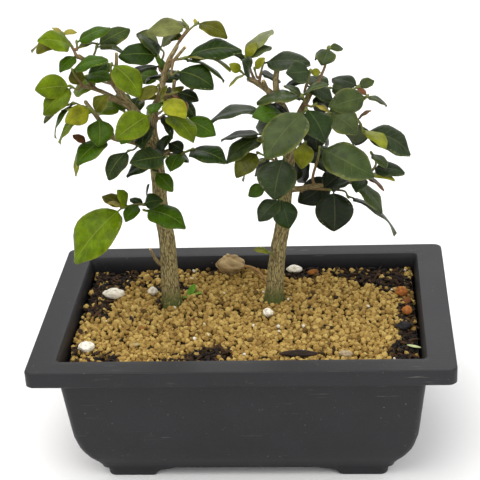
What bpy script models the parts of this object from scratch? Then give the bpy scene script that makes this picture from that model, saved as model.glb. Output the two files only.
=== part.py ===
"""Two small broad-leaved trees growing as a bonsai in one dark plastic training pot.

The frame stands on the floor: the origin is the middle of the pot's footprint, +X runs along
the pot's long side, +Y points to its back and +Z up. Each tree is grown wood with leaf sprays,
the trees stand in sockets in the soil, and small stones lie on the soil. Sizes are millimetres
in the tables below and are turned into metres once, when a mesh is made.
"""

import math
from itertools import product

import bmesh
import bpy
import numpy as np
from mathutils import Matrix, Vector
from mathutils.bvhtree import BVHTree

MM = 0.001                    # metres in a millimetre
GAP = 0.3                     # clearance between pieces that touch
SLIVER = 0.001                # cubic millimetres below which an island holds nothing
CREASE = math.radians(40)     # edges sharper than this are shaded sharp
OFF_AXIS = (0.31, 0.89, 0.33)  # a direction that no limb or twig runs along

# Pot: a thin-walled moulded tray on four corner feet.
POT_LENGTH = 205.0            # over the rim, along X
POT_WIDTH = 133.0             # over the rim, along Y
POT_HEIGHT = 73.0
RIM_LEDGE_X = 13.3            # rim overhang beyond the body at the short ends
RIM_LEDGE_Y = 10.9            # rim overhang beyond the body at the long sides
RIM_SKIRT = 8.2               # height of the rim's down-turned skirt
RIM_PLATE = 2.4               # thickness of the rim's flat top
RIM_CORNER = 4.0              # plan radius of the rim's corners
RIM_ROUND = 0.8               # rounding of the rim's top edges
BODY_CORNER = 4.0             # plan radius of the body's corners
POT_WALL = 2.0
POT_FLOOR = 3.0
FLOOR_HEIGHT = 6.5            # underside of the floor above the surface it stands on
TUCK_X = 18.2                 # how far the body draws in from rim to foot along X
TUCK_Y = 9.5                  # the same along Y
TUCK_HEIGHTS = (6.5, 9.5, 13.5, 19.0, 27.5, 42.0, 62.0)      # the body's profile: heights,
TUCK_SHARES = (0.86, 0.74, 0.54, 0.35, 0.21, 0.12, 0.0)     # and the share of the tuck there
LIP_DROP = 1.0                # depth of the slope from the rim's top to the inner wall
FOOT_LENGTH = 24.0
FOOT_SLOPE = 2.5              # run of the steep inner end of a foot
SKIRT_SLOPE = 13.0            # run of the gentle slope from there up to the skirt's lower edge
FOOT_BEVEL = 0.3              # how far the foot's outer face leans in at the bottom
FLOOR_BEVEL = 1.5             # how much further in the inner wall stands at the floor
SKIRT_STEP = 2.8              # clearance under the skirt next to a foot
SKIRT_LIFT = 5.4              # clearance under the skirt between the feet
SKIRT_WALL = 3.2
DRAIN_RADIUS = 4.5
DRAIN_SPACING_X = 80.0
DRAIN_SPACING_Y = 46.0
DRAIN_SIDES = 16
CORNER_STEPS = 4              # points on each rounded corner, from one side to the next

# Soil and what lies on it.
SOIL_DROP = 8.0               # soil level below the rim's top
SOIL_MOUND = 1.6              # how much the soil rises towards the middle
SOIL_BUMP = 0.5               # unevenness of the soil's surface
SOIL_EDGE = 1.2               # how much lower the soil lies along the wall
SOCKET_TAPER = 1.6            # how much narrower a root socket is at its bottom
SOCKET_SIDES = 14
LUMP_UNEVENNESS = 0.10        # height of a stone's bumps, as a share of its radius
LUMP_SQUARENESS = 0.5         # how far a stone's corners stand out from a ball

# Trees. Their tables are drawn for a tree of TREE_DRAWN height and stretched to TREE_HEIGHT.
TREE_DRAWN = 150.0
TREE_HEIGHT = 150.0           # tip of the taller tree above the soil
TREE_SPACING = 53.5           # between the two trunks along X
TREE_MIDDLE = (-13.25, 14.0)  # point midway between the trunks, from the pot's middle
TREE_STAGGER = 3.0            # the right trunk stands this much further back
TRUNK_RADIUS = 4.6            # just above the soil
ROOT_DEPTH = 16.0             # length of the root stump in the soil
ROOT_FLARE = 0.9              # swelling of the trunk at the soil
STUMP_TAPER = 1.0             # how much thinner the root stump is at its bottom
TWIG_RADIUS = 0.9
TWIG_TAPER = 0.7              # radius of a twig's end, as a share of its start
TRUNK_SIDES = 9
LIMB_SIDES = 6
TWIG_SIDES = 5
THICK_LIMB = 3.0              # limbs thicker than this radius get the trunk's sides
PETIOLE_RADIUS = 0.55
PETIOLE_SHARE = 0.09          # length of a leaf's petiole, as a share of the whole
LEAF_THICKNESS = 1.1          # over the midrib
LEAF_FOLD = 0.22              # rise of a leaf's edges, as a share of its half width
LEAF_ARCH = 0.10              # rise of the midrib over its chord, as a share of its length
LEAF_STATIONS = (0.0, 0.1, 0.33, 0.62, 0.88)  # where along a leaf its sections stand

TURNS = (0, 5, -5, 10, -10, 15, -15, 20, -20, 26, -26, 32, -32, 40, -40, 50, -50)
TILTS = (0, 6, -6, 12, -12, 18, -18, 26, -26)  # degrees a leaf in the way may turn and tilt
LEAF_ROOM = 0.2               # swell of a leaf when its clearance is tried
BLADE_START = 0.3             # a leaf may touch its own spray up to this share of its length

SOIL_TOP = POT_HEIGHT - SOIL_DROP
INNER_HEIGHTS = (62.0, 42.0, 27.5, 19.0)        # where the inner wall's sections stand
SURFACE_SHARES = (1.0, 0.84, 0.62, 0.36)  # where the soil's surface rings stand, from its middle
STRETCH = TREE_HEIGHT / TREE_DRAWN
SKIRT_LIFTS = (0.0, SKIRT_STEP, SKIRT_LIFT, SKIRT_LIFT, SKIRT_STEP, 0.0)  # along one side


def leaf(at, tip, width, roll):
    """A leaf: its place along the twig, 0 to 1, its tip from the tree's foot, width and roll."""
    return {"at": at, "tip": tip, "width": width, "roll": roll}


def twig(points, *leaves, fork=None):
    """A twig through these points; a side twig starts at `fork` along its spray's first twig."""
    return {"points": points, "leaves": leaves, "fork": fork}


# Grown wood: each limb is its points from the tree's foot, and its radius at both ends.
LEFT_WOOD = {
    "trunk": ([(0, 0, 0), (0, 0, 19), (0, 1, 39), (-2, 2, 55), (-2, 2, 72), (-3, 3, 88), (-5, 3, 100)],
              TRUNK_RADIUS, 3.2),
    "main_bough": ([(-4, 3, 94), (-10, 2, 107), (-15, 2, 114), (-20, 2, 123), (-27, 8, 127),
                    (-33, 11, 131), (-37, 7, 136)], 2.5, 1.1),
    "upper_branch": ([(-14, 2, 112), (-23, 3, 117), (-29, 3, 120), (-35, 1, 123)], 1.2, 0.9),
    "lower_branch": ([(-3, 3, 88), (-12, -6, 96), (-21, -12, 101), (-26, -10, 108), (-34, -3, 116)],
                     1.7, 0.9),
    "leader": ([(-4, 3, 94), (-2, 3, 108), (2, 1, 117), (4, 4, 124), (7, 4, 133), (11, 9, 139)],
               2.4, 1.0),
    "right_branch": ([(-2, 3, 80), (2, -6, 89), (7, -8, 92)], 1.5, 1.1),
    "long_stub": ([(6, 4, 129), (9, 3, 133), (16, 2, 141)], 0.9, 0.8),
    "upright_stub": ([(3, 1, 117), (8, 0, 118), (10, 0, 125)], 1.0, 0.9),
    "slanted_stub": ([(3, 1, 116), (12, -1, 116), (23, -1, 125)], 0.9, 0.7),
    "bough_stub": ([(-23, 5, 125), (-19, 5, 131), (-18, 5, 138)], 1.0, 0.8),
    "cut_branch": ([(-12, 2, 110), (-19, -2, 116), (-25, -4, 118)], 1.3, 1.0),
    "dead_peg": ([(-1, 0, 24), (-5, -3, 28), (-8, -6, 37)], 1.2, 0.7),
}
RIGHT_WOOD = {
    "trunk": ([(0, 0, 0), (1, 0, 14), (3, 0, 31), (6, 1, 46), (8, 2, 64), (10, 3, 79), (12, 3, 94)],
              TRUNK_RADIUS, 2.7),
    "main_bough": ([(12, 3, 91), (10, 2, 103), (7, 3, 110), (2, 4, 115), (-4, 4, 120), (-8, 2, 123)],
                   2.2, 1.3),
    "leader": ([(12, 3, 90), (16, 1, 104), (20, 1, 112), (23, 3, 117), (26, 6, 119)], 2.0, 1.1),
    "outer_branch": ([(12, 3, 88), (19, -2, 99), (27, -3, 104), (35, -2, 105), (40, -2, 106)],
                     1.6, 1.0),
    "lower_branch": ([(8, 2, 64), (15, 0, 65), (22, -4, 68), (32, -5, 69), (41, -5, 71)], 1.6, 1.0),
    "tall_stub": ([(6, 3, 111), (5, 3, 120), (6, 4, 128)], 1.6, 1.3),
    "short_stub": ([(4, 3, 113), (1, 3, 116), (-1, 2, 122)], 1.4, 1.0),
}

# Leaf sprays: twigs and their leaves, which grow together as one piece.
SPRAYS = {
    "left_spray_outer_tip": [
        twig([(-38, 7, 136), (-41, 10, 141), (-45, 12, 146)],
             leaf(0.92, (-57, 3, 140), 11, -15),
             leaf(0.42, (-54, -2, 148), 13, -40),
             leaf(0.6, (-63, 18, 136), 14, 5),
             leaf(1, (-38, 14, 146), 4, 30),
             leaf(0.03, (-46, 0, 131), 8, -20),
             leaf(1, (-50, 13, 149), 4, -10)),
        twig([(-38, 9, 139), (-38, 10, 142)],
             leaf(1, (-22, 17, 147), 12, 15),
             leaf(0.4, (-29, 15, 140), 6, 5), fork=0.3),
    ],
    "left_spray_top_middle": [
        twig([(-33, 14, 130), (-31, 18, 134), (-30, 20, 137)],
             leaf(1, (-14, 27, 143), 12, 35),
             leaf(0.9, (-14, 13, 134), 10, -40)),
    ],
    "left_spray_outer_upper": [
        twig([(-35, 2, 122), (-38, 0, 128), (-39, -2, 132)],
             leaf(1, (-21, -4, 138), 13, 20),
             leaf(0.15, (-41, 5, 130), 8, -40)),
        twig([(-37, -4, 123), (-40, -5, 125)],
             leaf(1, (-57, -9, 125), 12, -70),
             leaf(0.9, (-54, -11, 113), 13, -35), fork=0.15),
    ],
    "left_spray_outer_middle": [
        twig([(-26, -10, 108), (-28, -13, 114), (-30, -15, 117)],
             leaf(0.6, (-22, -10, 122), 10, 20),
             leaf(0.9, (-46, -20, 102), 15, 0),
             leaf(1, (-40, -26, 115), 10, -60),
             leaf(0.3, (-26, -23, 101), 13, -5),
             leaf(0.6, (-46, -6, 113), 10, 0)),
        twig([(-37, -6, 116), (-39, -7, 117)],
             leaf(1, (-56, -3, 106), 11, 20),
             leaf(1, (-50, -9, 100), 11, 0), fork=0.5),
    ],
    "left_spray_outer_lower": [
        twig([(-21, -12, 101), (-28, -14, 100), (-34, -16, 99)],
             leaf(0.15, (-37, -26, 93), 14, -5),
             leaf(1, (-39, -22, 85), 8, 20),
             leaf(0.95, (-40, -13, 103), 5, -10),
             leaf(0.1, (-25, -2, 103), 6, 45)),
    ],
    "left_spray_inner_upper": [
        twig([(-29, 3, 120), (-33, 4, 124), (-35, 4, 126)],
             leaf(0.5, (-24, 9, 131), 11, 20),
             leaf(1, (-20, -1, 127), 11, 15)),
    ],
    "left_spray_front_upper": [
        twig([(-20, -1, 124), (-20, -4, 132), (-19, -6, 136)],
             leaf(1, (-5, -15, 123), 14, 20)),
    ],
    "left_spray_top_back": [
        twig([(2, 8, 128), (2, 11, 131), (1, 13, 133)],
             leaf(0.85, (-9, 21, 142), 13, 20),
             leaf(0.2, (-13, 5, 127), 12, 10),
             leaf(1, (-18, 9, 135), 13, -35)),
        twig([(3, 20, 132), (1, 22, 134)],
             leaf(1, (-11, 30, 139), 11, 85),
             leaf(1, (12, 27, 143), 10, -55), fork=0.3),
    ],
    "left_spray_leader": [
        twig([(11, 12, 139), (14, 15, 143), (16, 17, 146), (14, 18, 149)],
             leaf(0.25, (8, 24, 138), 6, -30),
             leaf(0.7, (-5, 18, 144), 13, -30),
             leaf(0.75, (2, 30, 142), 10, 0)),
        twig([(17, 12, 146), (21, 13, 149)],
             leaf(1, (36, 9, 143), 11, 15),
             leaf(0.95, (20, 15, 151), 2, 0), fork=0.15),
    ],
    "left_spray_right_upper": [
        twig([(8, 3, 134), (13, 2, 135), (16, 1, 136)],
             leaf(1, (43, 4, 138), 18, 10),
             leaf(0.9, (38, -3, 131), 13, -10),
             leaf(0.7, (35, -8, 127), 13, -20)),
        twig([(9, -3, 129), (12, -5, 131)],
             leaf(0.6, (15, 4, 123), 10, 20),
             leaf(1, (30, -14, 126), 14, 30), fork=0.2),
    ],
    "left_spray_right_middle": [
        twig([(2, -1, 117), (8, -3, 119), (11, -4, 120)],
             leaf(1, (22, -9, 118), 8, 20),
             leaf(0.85, (14, 2, 121), 4, 20),
             leaf(0.8, (17, -15, 115), 7, -25),
             leaf(0.9, (20, -7, 107), 11, 10)),
    ],
    "left_spray_centre_front": [
        twig([(0, -4, 114), (4, -14, 119), (6, -20, 122)],
             leaf(1, (18, -30, 118), 11, 25),
             leaf(0.5, (1, -25, 118), 8, 10),
             leaf(0.55, (8, -15, 128), 6, 55)),
        twig([(3, -5, 122), (3, -7, 125)],
             leaf(0.4, (-8, -5, 115), 11, 0),
             leaf(1, (-6, -15, 121), 8, -20), fork=0.2),
    ],
    "left_spray_centre_back": [
        twig([(4, 3, 123), (6, 5, 125), (6, 7, 126)],
             leaf(0.6, (-6, 13, 120), 12, 10),
             leaf(1, (1, 14, 128), 5, -40),
             leaf(1, (0, 10, 134), 6, 0)),
        twig([(1, 20, 115), (-1, 26, 116)],
             leaf(1, (-14, 36, 115), 11, -35),
             leaf(0.9, (10, 36, 115), 11, 25), fork=0.25),
    ],
    "left_spray_right_front": [
        twig([(1, -4, 107), (5, -13, 112), (7, -19, 115)],
             leaf(1, (21, -32, 106), 14, -5),
             leaf(0.6, (9, -24, 108), 6, -20),
             leaf(0.25, (9, -16, 101), 6, -25)),
        twig([(10, -7, 107), (15, -10, 109)],
             leaf(0.4, (4, -6, 114), 9, 10),
             leaf(1, (30, -17, 103), 12, 25), fork=0.15),
    ],
    "left_spray_right_lower": [
        twig([(2, -6, 89), (11, -11, 91), (18, -15, 95)],
             leaf(0.4, (15, -5, 85), 11, 20),
             leaf(1, (30, -13, 89), 7, -50),
             leaf(0.85, (35, -27, 93), 15, 5),
             leaf(0.6, (8, -24, 88), 10, -5),
             leaf(0.7, (6, -9, 96), 8, -35)),
    ],
    "left_spray_big_front": [
        twig([(-3, -5, 102), (-1, -15, 111), (0, -22, 116)],
             leaf(1, (-15, -36, 110), 14, -45),
             leaf(0.35, (-16, -21, 102), 12, -5),
             leaf(0.15, (-5, -24, 100), 12, 35)),
        twig([(-9, -16, 97), (-12, -20, 97)],
             leaf(1, (-22, -29, 86), 12, -10),
             leaf(0.6, (-10, -16, 100), 2, -85), fork=0.15),
    ],
    "left_spray_trunk_upper": [
        twig([(-2, -5, 84), (3, -15, 90), (6, -21, 94)],
             leaf(0.25, (7, -8, 100), 12, 10),
             leaf(1, (-10, -32, 96), 13, -40),
             leaf(0.6, (-14, -23, 85), 15, -5)),
        twig([(0, -11, 80), (-1, -15, 83)],
             leaf(0.5, (-12, -3, 88), 12, 30),
             leaf(1, (8, -22, 76), 8, 30), fork=0.2),
    ],
    "left_spray_low_outer": [
        twig([(-5, -3, 60), (-12, -8, 63), (-19, -11, 63)],
             leaf(0.95, (-30, -6, 67), 8, -20),
             leaf(0.9, (-20, -15, 74), 8, -80),
             leaf(1, (-26, -14, 67), 5, -15),
             leaf(0.5, (-17, -19, 59), 8, -20),
             leaf(1, (-44, -24, 39), 25, -30),
             leaf(0.35, (-17, -1, 63), 5, -15)),
        twig([(-6, -9, 65), (-8, -12, 65)],
             leaf(1, (2, -19, 70), 8, 75),
             leaf(0.3, (-6, -8, 74), 6, 100), fork=0.12),
    ],
    "left_spray_trunk_lower": [
        twig([(-2, -4, 53), (-5, -10, 59), (-8, -13, 62)],
             leaf(1, (13, -21, 56), 15, 20)),
    ],
    "left_spray_back_middle": [
        twig([(-3, 6, 103), (-1, 20, 101), (2, 27, 101)],
             leaf(1, (12, 36, 95), 10, 50),
             leaf(0.9, (2, 38, 108), 10, -15),
             leaf(0.6, (-9, 34, 87), 14, -80)),
        twig([(-15, 18, 100), (-21, 24, 101)],
             leaf(1, (-36, 34, 97), 12, -25),
             leaf(0.9, (-24, 34, 107), 10, -15),
             leaf(0.6, (-12, 30, 106), 10, 0), fork=0.3),
    ],
    "left_spray_back_outer": [
        twig([(-22, 6, 122), (-27, 16, 119), (-31, 20, 119)],
             leaf(1, (-46, 28, 110), 13, -40),
             leaf(0.9, (-29, 32, 125), 10, -10)),
    ],
    "right_spray_inner_top": [
        twig([(-5, 4, 121), (-8, 8, 127), (-10, 10, 131)],
             leaf(1, (-4, 12, 138), 6, 35),
             leaf(0.95, (3, 17, 134), 10, 10),
             leaf(1, (3, 29, 139), 13, -15),
             leaf(0.9, (-17, 5, 137), 6, -40)),
        twig([(-9, -3, 127), (-11, -4, 129)],
             leaf(1, (-16, -7, 134), 5, -85),
             leaf(0.4, (-9, -12, 137), 12, -100),
             leaf(0.6, (-17, -8, 123), 6, 15), fork=0.5),
    ],
    "right_spray_dome": [
        twig([(-3, 4, 121), (-2, 8, 125), (-1, 10, 128)],
             leaf(0.4, (7, 14, 117), 11, 20),
             leaf(1, (22, 4, 130), 15, 20)),
        twig([(-4, 4, 123), (-5, 4, 127)],
             leaf(1, (0, 4, 133), 5, 40), fork=0.25),
    ],
    "right_spray_leader": [
        twig([(26, 6, 120), (29, 9, 126), (31, 12, 134)],
             leaf(1, (28, 3, 129), 10, -5),
             leaf(1, (38, 17, 132), 5, 40),
             leaf(0.6, (34, 15, 129), 4, -10),
             leaf(0.98, (24, 10, 129), 5, -10)),
    ],
    "right_spray_top_middle": [
        twig([(19, 1, 116), (21, 2, 122), (22, 2, 126)],
             leaf(0.3, (33, -2, 112), 11, 10),
             leaf(1, (11, -5, 128), 12, -50),
             leaf(1, (27, 6, 124), 4, 75),
             leaf(0.5, (9, 6, 117), 7, -20)),
    ],
    "right_spray_outer_top": [
        twig([(39, -1, 106), (45, -2, 110), (49, -2, 114)],
             leaf(1, (31, -10, 112), 13, -50),
             leaf(0.95, (59, 3, 107), 7, 10)),
        twig([(41, 7, 113), (45, 9, 115)],
             leaf(1, (32, 16, 117), 10, -20),
             leaf(1, (53, 12, 117), 6, 40),
             leaf(0.95, (49, 6, 112), 4, 10), fork=0.3),
    ],
    "right_spray_centre_upper": [
        twig([(18, -1, 108), (19, -4, 113), (18, -5, 116)],
             leaf(0.7, (9, 4, 112), 11, 10),
             leaf(1, (-4, -9, 115), 15, -5),
             leaf(1, (9, 0, 120), 6, -5),
             leaf(1, (31, -8, 123), 8, 10)),
        twig([(22, -6, 111), (24, -6, 112)],
             leaf(1, (31, -8, 109), 5, 0),
             leaf(0.8, (30, 0, 114), 7, 15), fork=0.45),
    ],
    "right_spray_inner_front": [
        twig([(15, -4, 102), (19, -16, 112), (20, -21, 115)],
             leaf(1, (1, -40, 99), 21, -10)),
        twig([(6, -7, 109), (-1, -10, 111)],
             leaf(1, (-27, -13, 107), 18, 0),
             leaf(0.4, (-5, -20, 112), 13, -25),
             leaf(0.25, (2, -3, 112), 7, 5), fork=0.15),
    ],
    "right_spray_centre_front": [
        twig([(20, -5, 104), (20, -9, 109), (20, -11, 112)],
             leaf(1, (29, -22, 99), 17, 10)),
        twig([(25, -8, 108), (31, -8, 108)],
             leaf(1, (44, -17, 101), 14, 30), fork=0.6),
    ],
    "right_spray_big_front": [
        twig([(22, -6, 74), (25, -13, 87), (26, -19, 95)],
             leaf(1, (52, -30, 84), 20, 35)),
    ],
    "right_spray_outer_upper": [
        twig([(39, -3, 106), (45, -4, 102), (47, -5, 97)],
             leaf(0.7, (43, 4, 87), 13, 20),
             leaf(0.2, (34, 8, 95), 12, 10),
             leaf(1, (70, -9, 86), 17, 20),
             leaf(0.95, (58, -16, 93), 11, -10),
             leaf(0.5, (51, -5, 108), 5, 0)),
    ],
    "right_spray_outer_middle": [
        twig([(41, -5, 70), (49, -9, 76), (53, -10, 82), (51, -9, 87)],
             leaf(0.62, (67, -12, 78), 11, 25),
             leaf(0.4, (62, -16, 76), 8, -5),
             leaf(1, (58, -18, 83), 8, -5),
             leaf(0.35, (57, -13, 69), 7, -15),
             leaf(0.3, (43, -20, 72), 8, -5),
             leaf(0.1, (56, -15, 58), 14, -10)),
    ],
    "right_spray_inner_middle": [
        twig([(7, -3, 80), (0, -8, 86), (-4, -10, 89)],
             leaf(1, (-15, -20, 81), 11, -30),
             leaf(0.6, (-13, -9, 74), 10, 5),
             leaf(0.5, (-7, -4, 74), 7, -30)),
        twig([(2, -5, 93), (-2, -6, 97)],
             leaf(1, (-23, -2, 93), 12, 0),
             leaf(0.9, (-20, -14, 86), 15, -5),
             leaf(0.5, (-4, -14, 98), 7, -35), fork=0.25),
    ],
    "right_spray_trunk_lower": [
        twig([(7, -3, 56), (7, -9, 62), (6, -12, 65)],
             leaf(1, (-5, -20, 57), 11, -20),
             leaf(1, (10, -17, 51), 13, 15)),
        twig([(1, -4, 66), (-2, -5, 69)],
             leaf(1, (-10, -10, 66), 7, -55), fork=0.3),
    ],
    "right_spray_trunk_front": [
        twig([(9, -5, 76), (9, -15, 86), (9, -20, 91)],
             leaf(1, (4, -32, 74), 20, -5)),
        twig([(17, -9, 92), (19, -12, 95)],
             leaf(1, (17, -21, 85), 10, -10), fork=0.3),
    ],
    "right_spray_shade": [
        twig([(17, 3, 62), (25, 6, 65), (31, 8, 67)],
             leaf(0.85, (37, 12, 78), 13, 40),
             leaf(1, (14, 1, 57), 14, -65)),
    ],
    "right_spray_low_outer": [
        twig([(21, -4, 67), (28, -8, 68), (32, -11, 69)],
             leaf(0.85, (40, -13, 74), 12, 15),
             leaf(1, (32, -19, 50), 19, 0),
             leaf(0.5, (37, 0, 74), 13, 20)),
        twig([(37, -8, 67), (39, -10, 65)],
             leaf(1, (63, -14, 46), 17, -15), fork=0.6),
    ],
    "right_spray_sprout": [
        twig([(2, -4, 29), (0, -6, 32), (-1, -7, 33)],
             leaf(1, (-9, -9, 36), 5, -15)),
    ],
    "right_spray_back_middle": [
        twig([(16, 5, 102), (24, 18, 97), (29, 24, 95)],
             leaf(0.45, (24, 11, 80), 13, 25),
             leaf(0.3, (15, 9, 84), 13, 20),
             leaf(1, (41, 34, 89), 11, 45),
             leaf(0.9, (27, 36, 101), 10, -25),
             leaf(0.6, (29, 30, 77), 17, 75)),
        twig([(8, 18, 93), (3, 25, 92)],
             leaf(0.5, (-3, 12, 92), 12, 10),
             leaf(1, (-8, 34, 85), 11, -50),
             leaf(0.9, (3, 36, 98), 10, -20),
             leaf(0.6, (15, 32, 78), 14, 75), fork=0.25),
    ],
    "right_spray_back_outer": [
        twig([(22, 6, 115), (27, 17, 112), (31, 22, 110)],
             leaf(1, (42, 30, 102), 11, 50),
             leaf(0.9, (21, 32, 113), 10, -20)),
    ],
    "right_spray_back_lower": [
        twig([(11, 4, 79), (16, 16, 75), (21, 22, 71)],
             leaf(0.3, (13, 8, 66), 12, 30),
             leaf(0.8, (30, 14, 80), 12, 20),
             leaf(1, (34, 30, 63), 12, 45),
             leaf(0.9, (13, 26, 57), 12, -75)),
    ],
}

# What lies on the soil: its place as a share of the free room each way from the pot's middle,
# its size, its turn in degrees and its colour.
STONES = (
    ("tan_rock", (-0.140, 0.985), (14, 9, 11), 8, (0.52, 0.40, 0.26)),
    ("orange_pebble_back", (0.951, 0.389), (6, 5, 5), 20, (0.62, 0.30, 0.10)),
    ("orange_pebble_front", (0.967, 0.0), (5.5, 5, 4.5), 50, (0.58, 0.27, 0.08)),
    ("dark_stone", (0.955, -0.308), (7, 5, 4), 12, (0.10, 0.08, 0.07)),
    ("pale_stone", (0.603, -0.812), (6.5, 4, 3), 5, (0.45, 0.38, 0.28)),
    ("bark_strip", (0.361, -0.811), (17, 4, 3), 3, (0.09, 0.06, 0.04)),
    ("perlite_left", (-0.878, 0.434), (10, 6, 5), 10, (0.82, 0.80, 0.74)),
    ("perlite_front", (-0.934, -0.672), (8.5, 7, 5), 40, (0.80, 0.78, 0.72)),
    ("perlite_trunk", (-0.609, 0.468), (4.5, 5, 4), 70, (0.82, 0.80, 0.74)),
    ("perlite_back", (0.279, 0.944), (8, 5, 4), 15, (0.80, 0.77, 0.70)),
    ("perlite_middle", (0.131, -0.041), (5, 5, 4), 30, (0.84, 0.81, 0.75)),
)




def start_empty():
    """Take every object out of the scene."""
    for old in list(bpy.data.objects):
        bpy.data.objects.remove(old, do_unlink=True)


def material(name, color, roughness):
    """A plain Principled material."""
    made = bpy.data.materials.new(name)
    made.use_nodes = True
    shader = made.node_tree.nodes["Principled BSDF"]
    shader.inputs["Base Color"].default_value = (*color, 1.0)
    shader.inputs["Roughness"].default_value = roughness
    shader.inputs["Metallic"].default_value = 0.0
    return made


def make_object(name, solid, finish):
    """Put a closed solid, given in millimetres as points and faces, into the scene."""
    points, faces = solid
    mesh = bpy.data.meshes.new(name)
    mesh.from_pydata((np.asarray(points) * MM).tolist(), [], faces)
    shaper = bmesh.new()
    shaper.from_mesh(mesh)
    caps = [face for face in shaper.faces if len(face.verts) > 4]
    bmesh.ops.triangulate(shaper, faces=caps)
    bmesh.ops.recalc_face_normals(shaper, faces=shaper.faces)
    shaper.to_mesh(mesh)
    shaper.free()
    mesh.materials.append(finish)
    mesh.shade_smooth()
    mesh.set_sharp_from_angle(angle=CREASE)
    made = bpy.data.objects.new(name, mesh)
    bpy.context.collection.objects.link(made)
    return made


def combine(name, body, others, operation):
    """Join other objects to a body, or cut them from it, and keep only the resulting body."""
    tools = bpy.data.collections.new(name + "_tools")
    for other in others:
        tools.objects.link(other)
    cut = body.modifiers.new("combine", "BOOLEAN")
    cut.operation = operation
    cut.operand_type = "COLLECTION"
    cut.collection = tools
    cut.solver = "EXACT"
    graph = bpy.context.evaluated_depsgraph_get()
    mesh = bpy.data.meshes.new_from_object(body.evaluated_get(graph))
    body.modifiers.clear()
    fill_bubbles(mesh)
    body.data = mesh
    mesh.name = name
    for other in others:
        bpy.data.objects.remove(other, do_unlink=True)
    bpy.data.collections.remove(tools)
    return body


def fill_bubbles(mesh):
    """Fill sealed hollows, left where leaves cross: take out islands that face in or hold nothing."""
    shaper = bmesh.new()
    shaper.from_mesh(mesh)
    waiting = set(shaper.faces)
    while waiting:
        island = [waiting.pop()]
        for face in island:
            for edge in face.edges:
                joined = [other for other in edge.link_faces if other in waiting]
                island += joined
                waiting.difference_update(joined)
        start = island[0].verts[0].co.copy()
        volume = 0.0
        for face in island:
            first, *rest = [corner.co - start for corner in face.verts]
            volume += sum(first.dot(a.cross(b)) for a, b in zip(rest[:-1], rest[1:])) / 6
        if volume < SLIVER * MM ** 3:
            corners = {corner for face in island for corner in face.verts}
            bmesh.ops.delete(shaper, geom=list(corners), context="VERTS")
    shaper.to_mesh(mesh)
    shaper.free()


def unit(vector):
    """The vector at length one."""
    vector = np.asarray(vector, float)
    return vector / max(np.linalg.norm(vector), 1e-9)


def along(points, share):
    """The point at this share of a polyline's length."""
    points = np.asarray(points, float)
    steps = np.linalg.norm(np.diff(points, axis=0), axis=1)
    reach = np.concatenate(([0.0], np.cumsum(steps)))
    return np.array([np.interp(share * reach[-1], reach, points[:, axis]) for axis in range(3)])


def loft(rings):
    """Skin closed rings of equally many points in order, with a flat cap on each end."""
    count = len(rings[0])
    faces = [[(r * count + i), (r * count + (i + 1) % count),
              ((r + 1) * count + (i + 1) % count), ((r + 1) * count + i)]
             for r in range(len(rings) - 1) for i in range(count)]
    last = (len(rings) - 1) * count
    faces.append(list(range(count))[::-1])
    faces.append([last + i for i in range(count)])
    return np.concatenate(rings), faces


def tube(points, radii, sides):
    """A round tube through the points, whose ring planes turn smoothly from one to the next."""
    points = np.asarray(points, float)
    ahead = np.gradient(points, axis=0)
    across = unit(np.cross(ahead[0], OFF_AXIS))
    turns = np.arange(sides) * (2 * math.pi / sides)
    rings = []
    for point, direction, radius in zip(points, ahead, radii):
        direction = unit(direction)
        across = unit(across - direction * (across @ direction))
        other = np.cross(direction, across)
        rings.append(point + radius * (np.outer(np.cos(turns), across) + np.outer(np.sin(turns), other)))
    return loft(rings)


def leaf_axes(base, tip, roll):
    """Direction, side and normal of a leaf: its face looks up, then is rolled about the midrib."""
    ahead = unit(tip - base)
    up = unit(np.array([0.0, 0.0, 1.0]) - ahead * ahead[2])
    side = np.cross(ahead, up)
    angle = math.radians(roll)
    normal = up * math.cos(angle) + side * math.sin(angle)
    return ahead, np.cross(ahead, normal), normal


def leaf_solid(base, tip, width, roll, swell=0.0, start=0.0):
    """A leaf with its petiole: diamond sections that widen to an egg outline and close in a tip."""
    ahead, side, normal = leaf_axes(base, tip, roll)
    length = np.linalg.norm(tip - base)
    rings = []
    for share in LEAF_STATIONS:
        share = start + (1 - start) * share
        blade = max(share - PETIOLE_SHARE, 0.0) / (1 - PETIOLE_SHARE)
        half = max(width / 2 * math.sin(math.pi * blade ** 0.8) ** 0.7, PETIOLE_RADIUS) + swell
        thick = LEAF_THICKNESS / 2 * (1 - 0.4 * share) + swell
        centre = base + ahead * length * share
        centre = centre + normal * LEAF_ARCH * length * 4 * share * (1 - share)
        edge = normal * LEAF_FOLD * (half - PETIOLE_RADIUS)
        rings.append(np.array([centre - side * half + edge, centre + normal * thick,
                               centre + side * half + edge, centre - normal * thick]))
    points = np.concatenate(rings + [[tip + ahead * swell]])
    faces = [[r * 4 + i, r * 4 + (i + 1) % 4, (r + 1) * 4 + (i + 1) % 4, (r + 1) * 4 + i]
             for r in range(len(rings) - 1) for i in range(4)]
    last = (len(rings) - 1) * 4
    faces += [[last + i, last + (i + 1) % 4, len(points) - 1] for i in range(4)]
    faces.append([3, 2, 1, 0])
    return points, faces


def tree_of(solid):
    """A search tree of a solid's faces, in millimetres."""
    points, faces = solid
    return BVHTree.FromPolygons([tuple(p) for p in points], faces)


def object_tree(made):
    """A search tree of an object's faces, in millimetres."""
    points = [tuple(vertex.co / MM) for vertex in made.data.vertices]
    return BVHTree.FromPolygons(points, [tuple(face.vertices) for face in made.data.polygons])


def inside(search, point):
    """Whether a point is behind the nearest face of a closed surface."""
    place, normal, _, _ = search.find_nearest(Vector(point))
    return (Vector(point) - place).dot(normal) < 0


# ---------------------------------------------------------------- pot


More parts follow.
